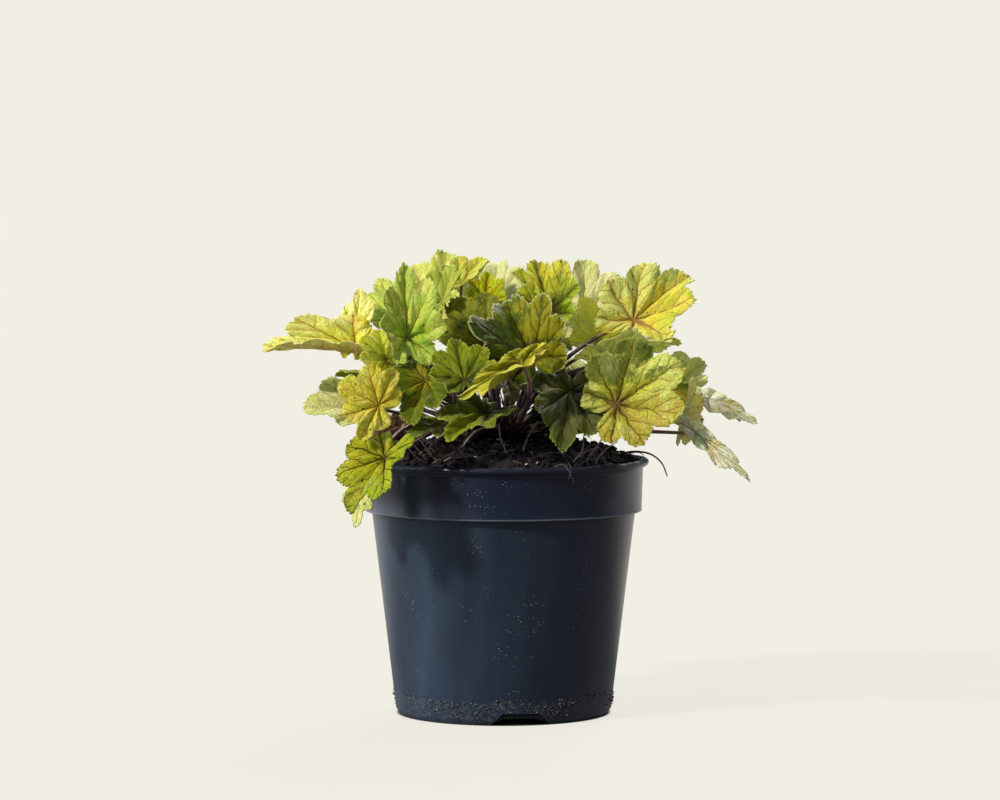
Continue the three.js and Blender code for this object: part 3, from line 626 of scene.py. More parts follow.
# name, root, tip, the side the face looks to, fold, arch, roll, cup, wave, width, seed, tone, look
leaves = [
    ("far_left", (-65, -8, 163), (-107, -14, 162), (0.05, -0.5, 0.85),
     56, 12, 0, 0, 0.05, 0.52, 3, "yellow", "gold"),
    ("left_upright", (-67, 2, 167), (-64, 8, 190), (-0.35, -0.9, 0.2),
     20, 0, 0, 0, 0.04, 0.52, 4, "yellow", "gold"),
    ("upper_left", (-42, -32, 169), (-44, -24, 202), (0.3, -0.9, 0.2),
     36, -10, 0, 0.04, 0.04, 0.68, 5, "lime", "spring"),
    ("back_left", (-45, 14, 177), (-57, 28, 194), (-0.2, -0.6, 0.75),
     10, 0, 0, 0.05, 0.03, 0.8, 8, "pale", "spring"),
    ("top_left", (-30, 26, 183), (-26, 46, 206), (-0.1, -0.75, 0.65),
     14, 0, 0, 0.04, 0.05, 0.82, 11, "pale", "butter"),
    ("upright_young", (-27, 4, 183), (-21, 10, 199), (-0.6, -0.75, 0.2),
     38, 0, 0, 0, 0.03, 0.9, 13, "lime", "sage"),
    ("top_curled", (-19, 18, 191), (-9, 36, 201), (-0.2, -0.5, 0.85),
     30, 0, 20, 0.03, 0.05, 0.8, 14, "lime", "lemon"),
    ("top_pale", (-4, 42, 185), (-3, 62, 201), (0, -0.6, 0.8),
     12, 0, 0, 0.04, 0.04, 0.9, 17, "pale", "cream"),
    ("red_young", (-8, 2, 184), (-7, 10, 197), (0, -0.85, 0.5),
     24, 0, 0, 0.04, 0.03, 0.9, 19, "tan", "rust"),
    ("shaded_left", (-9, -12, 166), (-24, -2, 186), (-0.1, -0.85, 0.5),
     12, 0, 0, 0, 0.03, 0.9, 21, "dark", "shade"),
    ("centre_large", (12, -37, 161), (0, -18, 187), (-0.15, -0.85, 0.5),
     36, 6, 0, 0, 0.05, 1, 23, "green", "mottled"),
    ("top_centre", (21, 8, 180), (14, 28, 202), (-0.05, -0.8, 0.6),
     44, 0, 0, 0.03, 0.05, 0.84, 26, "lime", "plum"),
    ("top_right_pale", (36, 42, 175), (38, 62, 201), (0.1, -0.7, 0.7),
     10, 0, 0, 0.03, 0.04, 0.8, 29, "pale", "cream"),
    ("back_yellow", (43, 20, 165), (36, 28, 185), (0.1, -0.8, 0.5),
     20, 0, 0, 0.05, 0.05, 0.9, 31, "yellow", "amber"),
    ("top_right", (58, -1, 174), (84, 16, 195), (0.05, -0.75, 0.65),
     24, 8, 0, 0.02, 0.05, 0.78, 32, "yellow", "rosy"),
    ("right_flat", (47, -10, 161), (74, -26, 168), (0.1, 0.25, 0.96),
     12, 6, 0, 0, 0.04, 0.75, 37, "green", "silver"),
    ("right_large", (49, -54, 141), (77, -62, 160), (0.12, -0.9, 0.42),
     10, 6, 0, 0, 0.04, 0.92, 38, "yellow", "straw"),
    ("front_dark", (29, -35, 146), (25, -62, 123), (0.2, -0.72, 0.7),
     14, 10, 0, 0, 0.04, 0.68, 41, "dark", "deep"),
    ("red_veined", (2, -22, 152), (4, -43, 142), (0, -0.7, 0.7),
     16, 0, 0, 0.03, 0.04, 0.7, 43, "tan", "ember"),
    ("lower_centre", (-17, -58, 152), (-21, -44, 169), (0, -0.6, 0.8),
     10, -10, 0, 0.1, 0.04, 0.9, 44, "green", "fern"),
    ("centre_left", (-34, -42, 151), (-41, -58, 132), (-0.2, -0.8, 0.4),
     20, 6, 0, 0, 0.05, 0.88, 47, "green", "olive"),
    ("left_tan", (-54, -60, 141), (-71, -65, 151), (-0.35, -0.8, 0.45),
     14, 8, 0, 0, 0.04, 1.15, 49, "tan", "ochre"),
    ("left_pale", (-61, 0, 136), (-89, -8, 138), (-0.2, -0.6, 0.75),
     10, 6, 0, 0, 0.04, 0.88, 50, "pale", "celery"),
    ("left_small", (-52, -20, 159), (-63, -28, 169), (-0.2, -0.8, 0.5),
     12, 6, 0, 0, 0.03, 0.8, 53, "lime", "moss"),
    ("droop_left", (-51, -66, 119), (-65, -77, 95), (-0.5, -0.75, 0.4),
     26, 14, 0, 0, 0.06, 0.82, 55, "yellow", "inked"),
    ("dry_brown", (-46, -20, 124), (-63, -34, 125), (0.1, -0.5, 0.85),
     55, 20, 20, 0, 0.06, 0.75, 56, "dry", "withered"),
    ("low_left", (-26, -38, 130), (-40, -56, 128), (-0.1, -0.6, 0.8),
     8, 12, 0, 0, 0.04, 0.74, 59, "dark", "olive"),
    ("front_strip", (-7, -41, 136), (-24, -67, 126), (0.25, -0.1, 0.96),
     24, 10, 0, 0, 0.04, 0.62, 62, "dark", "fern"),
    ("rim_front", (-20, -56, 121), (-31, -68, 118), (-0.1, -0.5, 0.85),
     8, 8, 0, 0, 0.04, 0.85, 65, "dark", "dusk"),
    ("right_small", (76, -2, 147), (90, 4, 158), (0.2, -0.75, 0.6),
     14, 0, 0, 0.03, 0.04, 0.85, 67, "green", "silver"),
    ("right_low", (73, -10, 145), (77, -24, 133), (0.3, -0.75, 0.55),
     12, 6, 0, 0, 0.04, 0.85, 68, "green", "olive"),
    ("right_dry", (78, -42, 132), (82, -46, 153), (0.7, -0.6, 0.2),
     60, 10, 10, 0, 0.05, 0.6, 71, "tan", "parched"),
    ("right_droop", (83, -56, 129), (106, -62, 108), (-0.1, -0.85, 0.5),
     22, 10, 0, 0, 0.05, 0.2, 73, "pale", "husk"),
    ("far_right", (90, -30, 142), (111, -28, 131), (-0.1, -0.8, 0.6),
     14, 14, 0, 0, 0.05, 0.3, 74, "pale", "husk"),
    ("back_1", (-50, 38, 143), (-76, 54, 148), (-0.3, 0.3, 0.9),
     12, 12, 0, 0, 0.04, 1, 80, "green", "fern"),
    ("back_2", (-28, 46, 153), (-44, 80, 153), (-0.2, 0.4, 0.9),
     14, 12, 0, 0, 0.05, 1, 81, "lime", "spring"),
    ("back_3", (2, 52, 159), (0, 88, 163), (0, 0.3, 0.95),
     14, 14, 0, 0, 0.05, 1, 82, "yellow", "straw"),
    ("back_4", (34, 48, 149), (54, 78, 147), (0.3, 0.4, 0.85),
     12, 12, 0, 0, 0.04, 1, 83, "lime", "lemon"),
    ("back_5", (58, 30, 141), (88, 46, 143), (0.3, 0.3, 0.9),
     14, 12, 0, 0, 0.04, 1, 84, "green", "olive"),
    ("back_6", (-30, 44, 125), (-52, 72, 115), (-0.4, 0.6, 0.7),
     10, 14, 0, 0, 0.05, 1, 85, "dark", "deep"),
    ("back_7", (16, 48, 127), (22, 82, 119), (0.1, 0.6, 0.8),
     10, 14, 0, 0, 0.05, 1, 86, "dark", "fern"),
    ("back_8", (-6, 20, 171), (-10, 34, 185), (0, -0.5, 0.85),
     14, 0, 0, 0.05, 0.03, 0.9, 88, "lime", "lemon"),
    ("back_9", (-12, 40, 169), (-20, 68, 179), (0, 0.2, 0.97),
     14, 12, 0, 0, 0.05, 0.95, 90, "lime", "spring"),
    ("back_10", (22, 44, 165), (30, 72, 173), (0.1, 0.2, 0.95),
     12, 12, 0, 0, 0.05, 0.95, 91, "green", "mottled"),
    ("back_11", (54, 36, 157), (80, 52, 165), (0.2, 0.2, 0.95),
     14, 12, 0, 0, 0.04, 0.95, 92, "lime", "rosy"),
    ("back_12", (-48, 30, 159), (-72, 44, 163), (-0.2, 0.2, 0.95),
     14, 12, 0, 0, 0.04, 0.9, 93, "green", "mottled"),
    ("mid_left", (-26, 12, 149), (-50, 14, 155), (-0.2, 0, 0.98),
     12, 10, 0, 0, 0.05, 0.95, 94, "green", "fern"),
    ("mid_right", (28, 14, 147), (54, 12, 149), (0.2, 0, 0.98),
     12, 10, 0, 0, 0.05, 0.95, 95, "dark", "deep"),
    ("mid_front", (24, -7, 141.5), (45, -19, 146), (0.1, -0.2, 0.97),
     12, 10, 0, 0, 0.04, 0.82, 98, "dark", "deep"),
    ("droop_small", (-60, -46, 109), (-64, -51, 87), (-0.7, -0.6, 0.3),
     10, 10, 0, 0, 0.04, 0.7, 96, "pale", "celery"),
    ("front_folded", (8, -60, 159), (-19, -74, 144.5), (0.3, -0.3, 0.9),
     58, 6, 0, 0, 0.04, 0.34, 97, "yellow", "citron"),
]
leafWords = ("name", "root", "tip", "faces", "fold", "arch", "roll", "cup", "wave", "width", "seed",
             "tone", "look")
leaves = [dict(zip(leafWords, row)) for row in leaves]

# Living leaf colours: the body from heart to margin, clouds of two others, pale patches of painted sheen,
# a blush along the veins with painted shade in the creases beside the side veins, the veins themselves.
# Widths and heartSize are shares of the blade, other sizes are millimetres.
plainLook = {
    "inner": "#8fae2c", "outer": "#9cba3a", "under": "#a9b784", "roughness": 0.48,
    "patch": "#c2c83c", "patchShare": 0.4, "patchSize": 9, "tilt": 0.0, "push": 0.0,
    "second": "#9cba3a", "secondShare": 0.0, "secondTilt": 0.0, "secondPush": 0.0,
    "pale": "#e6e6bc", "paintedSheenShare": 0.16, "edge": "#c5d06a", "edgeStrength": 0.4,
    "blush": "#c9cc44", "blushWidth": 0.1, "blushStrength": 0.2,
    "heart": "#5a3a2a", "heartSize": 0.2, "heartStrength": 0.5,
    "vein": "#5d4a28", "veinWidth": 0.015, "mainStrength": 0.6, "sideStrength": 0.34, "netStrength": 0.1,
    "spots": 0.25, "spot": "#2a2414", "glow": 0.38, "glowColour": "#d4dc3c",
    "wanderSize": 6, "netSize": 2.3, "spotSpacing": 3.2, "grainSize": 0.9,
}
looks = {
    "gold": {"inner": "#eaf068", "outer": "#eaf099", "patch": "#eadf2f", "patchShare": 0.35,
        "push": -0.2, "blush": "#eacf40", "blushStrength": 0.35, "heart": "#db9120",
        "heartStrength": 0.6, "vein": "#b94e20", "veinWidth": 0.02, "mainStrength": 0.85,
        "sideStrength": 0.55, "spots": 0.1, "under": "#e8dbaf"},
    "spring": {"inner": "#adcb39", "outer": "#b5cb5c", "patch": "#d1d568", "second": "#87aa36",
        "secondShare": 0.3, "secondPush": -0.3, "blush": "#cad55a", "heartStrength": 0.3,
        "vein": "#5c5c24", "sideStrength": 0.45, "edgeStrength": 0.55, "under": "#b5c4ab"},
    "sage": {"inner": "#a2af46", "outer": "#96a83b", "patch": "#b6b94b", "blush": "#adb64b",
        "heartStrength": 0.1, "vein": "#82924f", "mainStrength": 0.4, "sideStrength": 0.3,
        "spots": 0.05, "under": "#afb85b"},
    "butter": {"inner": "#d8dc75", "outer": "#c4d160", "patch": "#e1da82", "blush": "#e1cd6b",
        "heartStrength": 0.1, "vein": "#b28e4a", "mainStrength": 0.4, "sideStrength": 0.3, "spots": 0.3,
        "under": "#d9dfae"},
    "lemon": {"inner": "#c4c63b", "outer": "#b0c148", "patch": "#d4cd4b", "blush": "#cdcd57",
        "heartStrength": 0.2, "vein": "#787622", "mainStrength": 0.45, "spots": 0.5},
    # painted shade: the body is dark for the shaded lower side of the folded leaf, against its bright
    # yellow margin
    "citron": {"inner": "#615d10", "outer": "#cdcc39", "patch": "#b0ad24", "patchShare": 0.3,
        "blush": "#aea628", "heartStrength": 0.3, "vein": "#5a4a1c", "spots": 0.5, "edge": "#e0dc7a",
        "edgeStrength": 0.7, "under": "#918f39"},
    "cream": {"inner": "#d0cf97", "outer": "#c7cb82", "patch": "#d7d59f", "blush": "#d4d399",
        "heartStrength": 0.05, "vein": "#a7b06a", "mainStrength": 0.35, "sideStrength": 0.28,
        "spots": 0.1, "edge": "#e1e692", "under": "#d7d9b2"},
    "rust": {"inner": "#b4ba09", "outer": "#b0ca0e", "patch": "#acae09", "patchShare": 0.45,
        "blush": "#9d7409", "blushWidth": 0.14, "blushStrength": 0.5, "heart": "#7b2b1e",
        "heartSize": 0.3, "heartStrength": 0.6, "vein": "#6b2b19", "mainStrength": 0.8,
        "pale": "#a5b42d", "paintedSheenShare": 0.06},
    "deep": {"inner": "#3e401a", "outer": "#4f5321", "patch": "#626626", "patchShare": 0.3,
        "blush": "#485618", "heart": "#241f11", "vein": "#1d240f", "netStrength": 0.08, "spots": 0.1,
        "pale": "#867d51", "paintedSheenShare": 0.06, "edge": "#779b27", "edgeStrength": 0.6,
        "under": "#94995f", "glow": 0.3, "glowColour": "#85af28"},
    # painted shadow: near black, for a leaf that lies in deep shade at the rim
    "dusk": {"inner": "#0b040a", "outer": "#0f040c", "patch": "#150b0e", "patchShare": 0.3,
        "blush": "#0b040a", "heart": "#140e0c", "vein": "#140e0c", "spots": 0.2, "pale": "#2e1d30",
        "paintedSheenShare": 0.06, "edge": "#6a5c40", "edgeStrength": 0.5, "under": "#1c101c", "glow": 0.2,
        "glowColour": "#4a4a20"},
    "mottled": {"inner": "#314901", "outer": "#536401", "patch": "#8a8703", "patchShare": 0.3,
        "tilt": -0.3, "second": "#243901", "secondShare": 0.26, "secondTilt": 0.5, "blush": "#383a01",
        "blushStrength": 0.35, "heart": "#402117", "heartSize": 0.32, "heartStrength": 0.85,
        "vein": "#381a1a", "mainStrength": 0.9, "sideStrength": 0.7, "pale": "#737c0c",
        "paintedSheenShare": 0.06, "edge": "#c4c88c", "edgeStrength": 0.8, "under": "#566209"},
    "plum": {"inner": "#4b6a0f", "outer": "#9db31d", "patch": "#c7c132", "patchShare": 0.3, "push": 0.4,
        "second": "#c0cc2a", "secondShare": 0.3, "secondTilt": 0.4, "blush": "#5f521b",
        "blushWidth": 0.12, "blushStrength": 0.45, "heart": "#45311a", "heartSize": 0.36,
        "heartStrength": 0.75, "vein": "#4a2018", "mainStrength": 0.85, "sideStrength": 0.6,
        "edge": "#c4c878", "edgeStrength": 0.6},
    # painted light: lighter than the leaf's own colour, for a leaf that lies in the shade of others
    "amber": {"inner": "#f0f08b", "outer": "#f0f08e", "patch": "#f0f076", "blush": "#f0f061",
        "heart": "#c4863d", "vein": "#bc793d", "mainStrength": 0.4, "spots": 0.1, "under": "#f0f089",
        "glow": 0.5},
    "rosy": {"inner": "#dacc23", "outer": "#c7d249", "patch": "#e4da53", "second": "#ced781",
        "secondShare": 0.36, "secondTilt": 0.5, "blush": "#d8c259", "blushStrength": 0.45,
        "heart": "#a17b50", "vein": "#9a5c44", "veinWidth": 0.021, "mainStrength": 0.8,
        "sideStrength": 0.6, "under": "#cfd89b"},
    "straw": {"inner": "#c1c640", "outer": "#cbd370", "patch": "#b8a940", "patchShare": 0.3,
        "tilt": -0.35, "push": -0.1, "second": "#405918", "secondShare": 0.06, "secondTilt": 0.6,
        "blush": "#b0a939", "blushStrength": 0.3, "heart": "#4b2c2a", "heartSize": 0.3,
        "heartStrength": 0.85, "vein": "#684033", "veinWidth": 0.021, "mainStrength": 0.85,
        "sideStrength": 0.7, "netStrength": 0.3, "under": "#c9d7a5"},
    "fern": {"inner": "#3e5503", "outer": "#5d6f04", "patch": "#7d8b09", "patchShare": 0.35,
        "push": 0.35, "blush": "#394604", "heart": "#4a2829", "heartSize": 0.26, "heartStrength": 0.65,
        "vein": "#4a2a25", "mainStrength": 0.8, "sideStrength": 0.5, "pale": "#aaaa2c",
        "paintedSheenShare": 0.06, "edge": "#b4bb4c", "edgeStrength": 0.8, "under": "#888f22"},
    "olive": {"inner": "#847601", "outer": "#516801", "patch": "#415901", "patchShare": 0.35,
        "heartStrength": 0.2, "vein": "#4a4719", "mainStrength": 0.7, "sideStrength": 0.5, "spots": 1.0,
        "pale": "#9fa30e", "paintedSheenShare": 0.06, "under": "#7f7f09"},
    # painted light: lighter than the leaf's own colour, for a leaf that lies in shade
    "ochre": {"inner": "#e9de4b", "outer": "#e3dc6c", "patch": "#e9de52", "second": "#d3de4e",
        "secondShare": 0.3, "blush": "#eed742", "blushStrength": 0.35, "heart": "#966729",
        "vein": "#8c6e25", "mainStrength": 0.75, "sideStrength": 0.65, "netStrength": 0.3, "spots": 0.7,
        "under": "#cac566"},
    "celery": {"inner": "#cdd08e", "outer": "#c4cd75", "patch": "#dfdb9d", "blush": "#d8d797",
        "heartStrength": 0.1, "vein": "#8e9c50", "mainStrength": 0.4, "sideStrength": 0.32,
        "spots": 0.35, "under": "#d2d4ad"},
    "inked": {"inner": "#a1a714", "outer": "#99ac17", "patch": "#b2af1b", "tilt": -0.2,
        "blush": "#909813", "heart": "#412e24", "heartStrength": 0.6, "vein": "#3d2e22",
        "veinWidth": 0.021, "mainStrength": 0.95, "sideStrength": 0.85, "netStrength": 0.3,
        "spots": 0.4, "edge": "#36291d", "edgeStrength": 0.7, "under": "#aeb84a"},
    # painted light: lighter than the leaves' own colour, for leaves that lie in shade
    "silver": {"inner": "#e7e996", "outer": "#edecac", "patch": "#cdd278", "patchShare": 0.35,
        "blush": "#bec372", "heartStrength": 0.15, "vein": "#6a6a3a", "mainStrength": 0.4, "spots": 0.4,
        "edge": "#c4c488", "under": "#d6d8a8", "glow": 0.5},
    "ember": {"inner": "#574901", "outer": "#5d6001", "patch": "#433d01", "blush": "#493201",
        "blushWidth": 0.14, "blushStrength": 0.4, "heart": "#3a1a14", "heartSize": 0.3,
        "heartStrength": 0.7, "vein": "#3a1c14", "pale": "#687a05", "paintedSheenShare": 0.06,
        "edge": "#7a7424", "under": "#686c04", "glow": 0.3},
    # painted light: near white, lighter than the leaves' own colour, for leaves that lie partly in shade
    "husk": {"inner": "#f0f0ed", "outer": "#f0f0db", "patch": "#e7dcb7", "patchShare": 0.35,
        "second": "#c8e39a", "secondShare": 0.25, "blush": "#d6dca4", "heartStrength": 0.1,
        "vein": "#8d7448", "mainStrength": 0.5, "spots": 0.7, "edge": "#8d8660", "under": "#dde8cc",
        "glow": 0.45, "roughness": 0.6},
    "shade": {"inner": "#5c6313", "outer": "#7b801d", "patch": "#46500d", "second": "#9c9930",
        "secondShare": 0.2, "heart": "#2c2412", "vein": "#2c2a12", "spots": 0.4, "pale": "#a4a450",
        "paintedSheenShare": 0.06, "edge": "#8f9a4a", "under": "#6d723b", "glow": 0.3},
    # painted light: far lighter than the leaf's own colour, for a leaf turned away from the sun
    "moss": {"inner": "#f0f04d", "outer": "#f0f071", "patch": "#f0f08c", "second": "#f0f04a",
        "secondShare": 0.25, "heartStrength": 0.2, "vein": "#6a6222", "spots": 0.5, "under": "#f0f09f",
        "glow": 0.6},
    # painted light: lighter than the dry leaf's own colour, for a leaf that lies in shade
    "withered": {"inner": "#966a78", "outer": "#b49486", "patch": "#6e565f", "second": "#f0f08e",
        "secondShare": 0.25, "blush": "#7f5651", "heartStrength": 0.3, "vein": "#2e1c1a", "spots": 0.5,
        "pale": "#819f5f", "paintedSheenShare": 0.06, "edge": "#8d684d", "under": "#967d6a", "glow": 0.15,
        "glowColour": "#af733f", "roughness": 0.7},
    # painted light: near white, lighter than the dry leaf's own colour, for a leaf mostly shaded from the
    # sun
    "parched": {"inner": "#f0f0bf", "outer": "#f0f0b8", "patch": "#f0f08c", "blush": "#f0f077",
        "heartStrength": 0.2, "vein": "#805734", "spots": 0.6, "edge": "#e6d9a6", "under": "#f0f0b5",
        "glow": 0.4, "glowColour": "#daab51", "roughness": 0.65},
}


def leafMaterial(name, look):
    # living leaf: a soft waxy sheen, sunk veins, light glowing through, and a paler dull underside
    look = {**plainLook, **look}
    material, add = newMaterial(name)
    place = add("NewGeometry")
    flat = add("UVMap", {"uv_map": "blade"})
    flatAxes = add("SeparateXYZ", {0: flat})
    lobeAxes = add("SeparateXYZ", {0: add("UVMap", {"uv_map": "lobe"})})
    share, under = ((add("Attribute", {"attribute_name": key}), "Fac") for key in ("share", "under"))
    wander = add("TexNoise", {"Scale": perMetre(look["wanderSize"]), "Detail": 2, "Vector": place})
    cloud = add("TexNoise", {"Scale": perMetre(look["patchSize"]), "Detail": 4, "Roughness": 0.6,
                             "Vector": place})
    again = add("TexNoise", {"Scale": perMetre(look["patchSize"] * 0.8), "Detail": 4, "Roughness": 0.65,
                             "Distortion": 0.6, "Vector": place})
    sway = add("MapRange", {"To": (-0.06, 0.06), "Value": wander})
    across = add("Math", {"operation": "ADD", 0: (lobeAxes, "Y"), 1: sway})
    reach = add("Math", {"operation": "ABSOLUTE", 0: across})

    # the vein up the middle of each lobe, tapering to the tip
    width = add("MapRange", {"To": (look["veinWidth"], look["veinWidth"] * 0.22), "Value": (lobeAxes, "X")})
    ratio = add("Math", {"operation": "DIVIDE", 0: reach, 1: width})
    main = add("MapRange", {**smooth, "From": (0.3, 1.1), "To": (1, 0), "Value": ratio})

    # side veins leave it in turn, left and right, in forks, and curve forwards
    slant, curl = bladeSet["lean"]
    bow = add("Math", {"operation": "MULTIPLY_ADD", 0: reach, 1: curl, 2: slant})
    lean = add("Math", {"operation": "MULTIPLY", 0: reach, 1: bow})
    origin = add("Math", {"operation": "SUBTRACT", 0: (lobeAxes, "X"), 1: lean})
    left = add("Math", {"operation": "GREATER_THAN", 0: across, 1: 0.0})
    swayed = add("MapRange", {"To": (-0.5, 0.5), "Value": wander})
    turnTaking = add("Math", {"operation": "MULTIPLY_ADD", 0: left, 1: bladeSet["turnTaking"], 2: swayed})
    phase = add("Math", {"operation": "MULTIPLY_ADD", 0: origin, 1: 1 / bladeSet["sideVein"],
                         2: turnTaking})
    step = add("Math", {"operation": "FRACT", 0: phase})
    aside = add("Math", {"operation": "SUBTRACT", 0: step, 1: 0.5})
    distance = add("Math", {"operation": "ABSOLUTE", 0: aside})
    thin = add("MapRange", {"From": (0, 0.35), "To": (0.058, 0.024), "Value": reach})
    sideRatio = add("Math", {"operation": "DIVIDE", 0: distance, 1: thin})
    sideLine = add("MapRange", {**smooth, "From": (0.3, 1.1), "To": (1, 0), "Value": sideRatio})
    started = add("MapRange", {"From": (0.02, 0.1), "Value": origin})
    side = add("Math", {"operation": "MULTIPLY", 0: sideLine, 1: started})
    # and the net between them
    mesh = add("TexVoronoi", {"feature": "DISTANCE_TO_EDGE", "Scale": perMetre(look["netSize"]),
                              "Vector": place})
    net = add("MapRange", {"From": (0, 0.1), "To": (1, 0), "Value": mesh})

    # the body, from heart to margin
    spread = add("Math", {"operation": "MULTIPLY_ADD", 0: cloud, 1: 0.5, 2: share})
    outward = add("MapRange", {**smooth, "From": (0.55, 1.15), "Value": spread})
    colour = add("Mix", {"data_type": "RGBA", "Factor": outward, "A": look["inner"], "B": look["outer"]})
    # clouds of two colours, which gather to one side and to the tip or the heart
    clouds = []
    for wisp, tilt, push, limit, soft, most in (
            (cloud, "tilt", "push", 0.66 - 0.34 * look["patchShare"], 0.1, 1),
            (again, "secondTilt", "secondPush", 0.7 - 0.4 * look["secondShare"], 0.08,
             0.9 * (look["secondShare"] > 0))):
        tilted = add("Math", {"operation": "MULTIPLY_ADD", 0: (flatAxes, "Y"), 1: look[tilt], 2: wisp})
        pushed = add("Math", {"operation": "MULTIPLY_ADD", 0: (flatAxes, "X"), 1: look[push], 2: tilted})
        clouds.append(add("MapRange", {**smooth, "From": (limit - soft, limit + soft), "To": (0, most),
                                       "Value": pushed}))
    # pale patches of painted sheen, creamy like highlights
    paintedSheenNoise = add("TexNoise", {"Scale": perMetre(look["patchSize"] * 1.3), "Detail": 5, "Roughness": 0.7,
                            "Distortion": 0.3, "Vector": place})
    paintedLeafSheen = add("MapRange", {**smooth, "From": (0.5, 0.72), "To": (0, look["paintedSheenShare"]), "Value": paintedSheenNoise})
    # a blush along the main veins, a band beside the side veins that is painted shade in their sunk
    # creases, and a deeper heart
    blush, strong = look["blushStrength"], look["mainStrength"]
    nearVein = add("MapRange", {**smooth, "From": (0, look["blushWidth"]), "To": (blush, 0),
                                "Value": reach})
    paintedCreaseShade = add("MapRange", {**smooth, "From": (0, 0.34), "To": (blush * 0.8, 0), "Value": distance})
    blushAndCreaseShade = add("Math", {"operation": "MAXIMUM", 0: nearVein, 1: paintedCreaseShade})
    inward = add("VectorMath", {"operation": "LENGTH", 0: flat})
    ragged = add("Math", {"operation": "MULTIPLY_ADD", 0: cloud, 1: 0.3, 2: inward})
    core = add("MapRange", {**smooth, "From": (0.12, 0.15 + look["heartSize"]),
                            "To": (look["heartStrength"], 0), "Value": ragged})
    # how strongly each kind of vein is tinted
    paler = add("MapRange", {"To": (strong, strong * 0.65), "Value": (lobeAxes, "X")})
    mainTint = add("Math", {"operation": "MULTIPLY", 0: main, 1: paler})
    sideTint = add("Math", {"operation": "MULTIPLY", 0: side, 1: look["sideStrength"]})
    netTint = add("Math", {"operation": "MULTIPLY", 0: net, 1: look["netStrength"]})
    large = add("Math", {"operation": "MAXIMUM", 0: mainTint, 1: sideTint})
    veins = add("Math", {"operation": "MAXIMUM", 0: large, 1: netTint})
    # dark weather spots of about a millimetre, and a fine pale margin
    dots = add("TexVoronoi", {"Scale": perMetre(look["spotSpacing"]), "Vector": place})
    dot = add("MapRange", {"From": (0.12, 0.22), "To": (1, 0), "Value": dots})
    choice = add("SeparateColor", {0: (dots, "Color")})
    some = add("Math", {"operation": "LESS_THAN", 0: choice, 1: look["spots"] * 0.35})
    spotted = add("Math", {"operation": "MULTIPLY", 0: dot, 1: some})
    rim = add("MapRange", {"From": (0.955, 1), "To": (0, look["edgeStrength"]), "Value": share})
    for cover, over in ((clouds[0], "patch"), (clouds[1], "second"), (paintedLeafSheen, "pale"), (blushAndCreaseShade, "blush"),
                        (core, "heart"), (veins, "vein"), (spotted, "spot"), (rim, "edge")):
        colour = add("Mix", {"data_type": "RGBA", "Factor": cover, "A": colour, "B": look[over]})
    grain = add("TexNoise", {"Scale": perMetre(look["grainSize"]), "Detail": 3, "Vector": place})
    value = add("MapRange", {"To": (0.8, 1.2), "Value": grain})
    shift = add("MapRange", {"From": (0.3, 0.7), "To": (0.482, 0.518), "Value": again})
    top = add("HueSaturation", {"Hue": shift, "Value": value, "Color": colour})
    dulled = add("Mix", {"data_type": "RGBA", "Factor": 0.62, "A": top, "B": look["under"]})
    colour = add("Mix", {"data_type": "RGBA", "Factor": under, "A": top, "B": dulled})

    sunk = add("Math", {"operation": "MULTIPLY_ADD", 0: side, 1: 0.6, 2: main})
    deeper = add("Math", {"operation": "MULTIPLY_ADD", 0: net, 1: 0.3, 2: sunk})
    upward = add("MapRange", {"To": (-1, 1), "Value": under})  # what is sunk above stands out below
    height = add("Math", {"operation": "MULTIPLY", 0: deeper, 1: upward})
    rippled = add("Math", {"operation": "MULTIPLY_ADD", 0: grain, 1: 0.5, 2: height})
    bump = add("Bump", {"Strength": 0.8, "Distance": 0.0006, "Height": rippled})
    rough = add("MapRange", {"To": (look["roughness"] - 0.1, look["roughness"] + 0.18), "Value": grain})
    dull = add("Math", {"operation": "MULTIPLY_ADD", 0: under, 1: 0.2, 2: rough})
    skin = add("BsdfPrincipled", {"IOR": 1.42, "Specular IOR Level": 0.2, "Base Color": colour,
                                  "Roughness": dull, "Normal": bump})
    through = add("Mix", {"data_type": "RGBA", "Factor": 0.3, "A": colour, "B": look["glowColour"]})
    glow = add("BsdfTranslucent", {"Color": through, "Normal": bump})
    add("OutputMaterial", {"Surface": add("MixShader", {0: look["glow"], 1: skin, 2: glow})})
    return material


def seeded(seed):  # an endless row of draws from 0 to 1
    state = seed * 7919 + 13
    while True:
        state = (state * 1664525 + 1013904223) % 2 ** 32
        yield state / 2 ** 32


def lobesOf(draw):
    own = []
    for turn, length in lobes:
        turned = turn + (next(draw) - 0.5) * bladeSet["turnVaries"]
        grown = length * (1 + (next(draw) - 0.5) * bladeSet["lengthVaries"])
        own.append((turned, grown) if turn else (0, 1))
    return own


def lobeLimits(own, i):  # where a lobe's two sinuses are, and how far out
    cleft, last = bladeSet["cleft"], len(own) - 1
    turn, length = own[i]
    before = (own[i - 1][0] + turn) / 2 if i else -cleft["turn"]
    after = (own[i + 1][0] + turn) / 2 if i < last else cleft["turn"]
    shallow = bladeSet["sinusDepth"]
    lowBefore = (own[i - 1][1] + length) / 2 * shallow if i else length * cleft["reach"]
    lowAfter = (own[i + 1][1] + length) / 2 * shallow if i < last else length * shallow
    return before, after, lowBefore, lowAfter


def plainOutline(own):  # the few points that the solid blade's outline has
    cleft, last = bladeSet["cleft"], len(own) - 1
    points = [(-180, cleft["foot"]), (-cleft["turn"], own[0][1] * cleft["reach"])]
    (outer, outerReach), (inner, innerReach) = bladeSet["outerTooth"], bladeSet["innerTooth"]
    steps = [(-outer, outerReach), (-inner, innerReach), (0, 1), (inner, innerReach),
             (outer, outerReach)]
    for i, (turn, length) in enumerate(own):
        before, after, _, lowAfter = lobeLimits(own, i)
        for at, reach in steps:
            if abs(at) == inner and i in (0, last):
                continue
            span = turn - before if at < 0 else after - turn
            points.append((turn + span * at, length * reach))
        points.append((after, lowAfter))
    return points


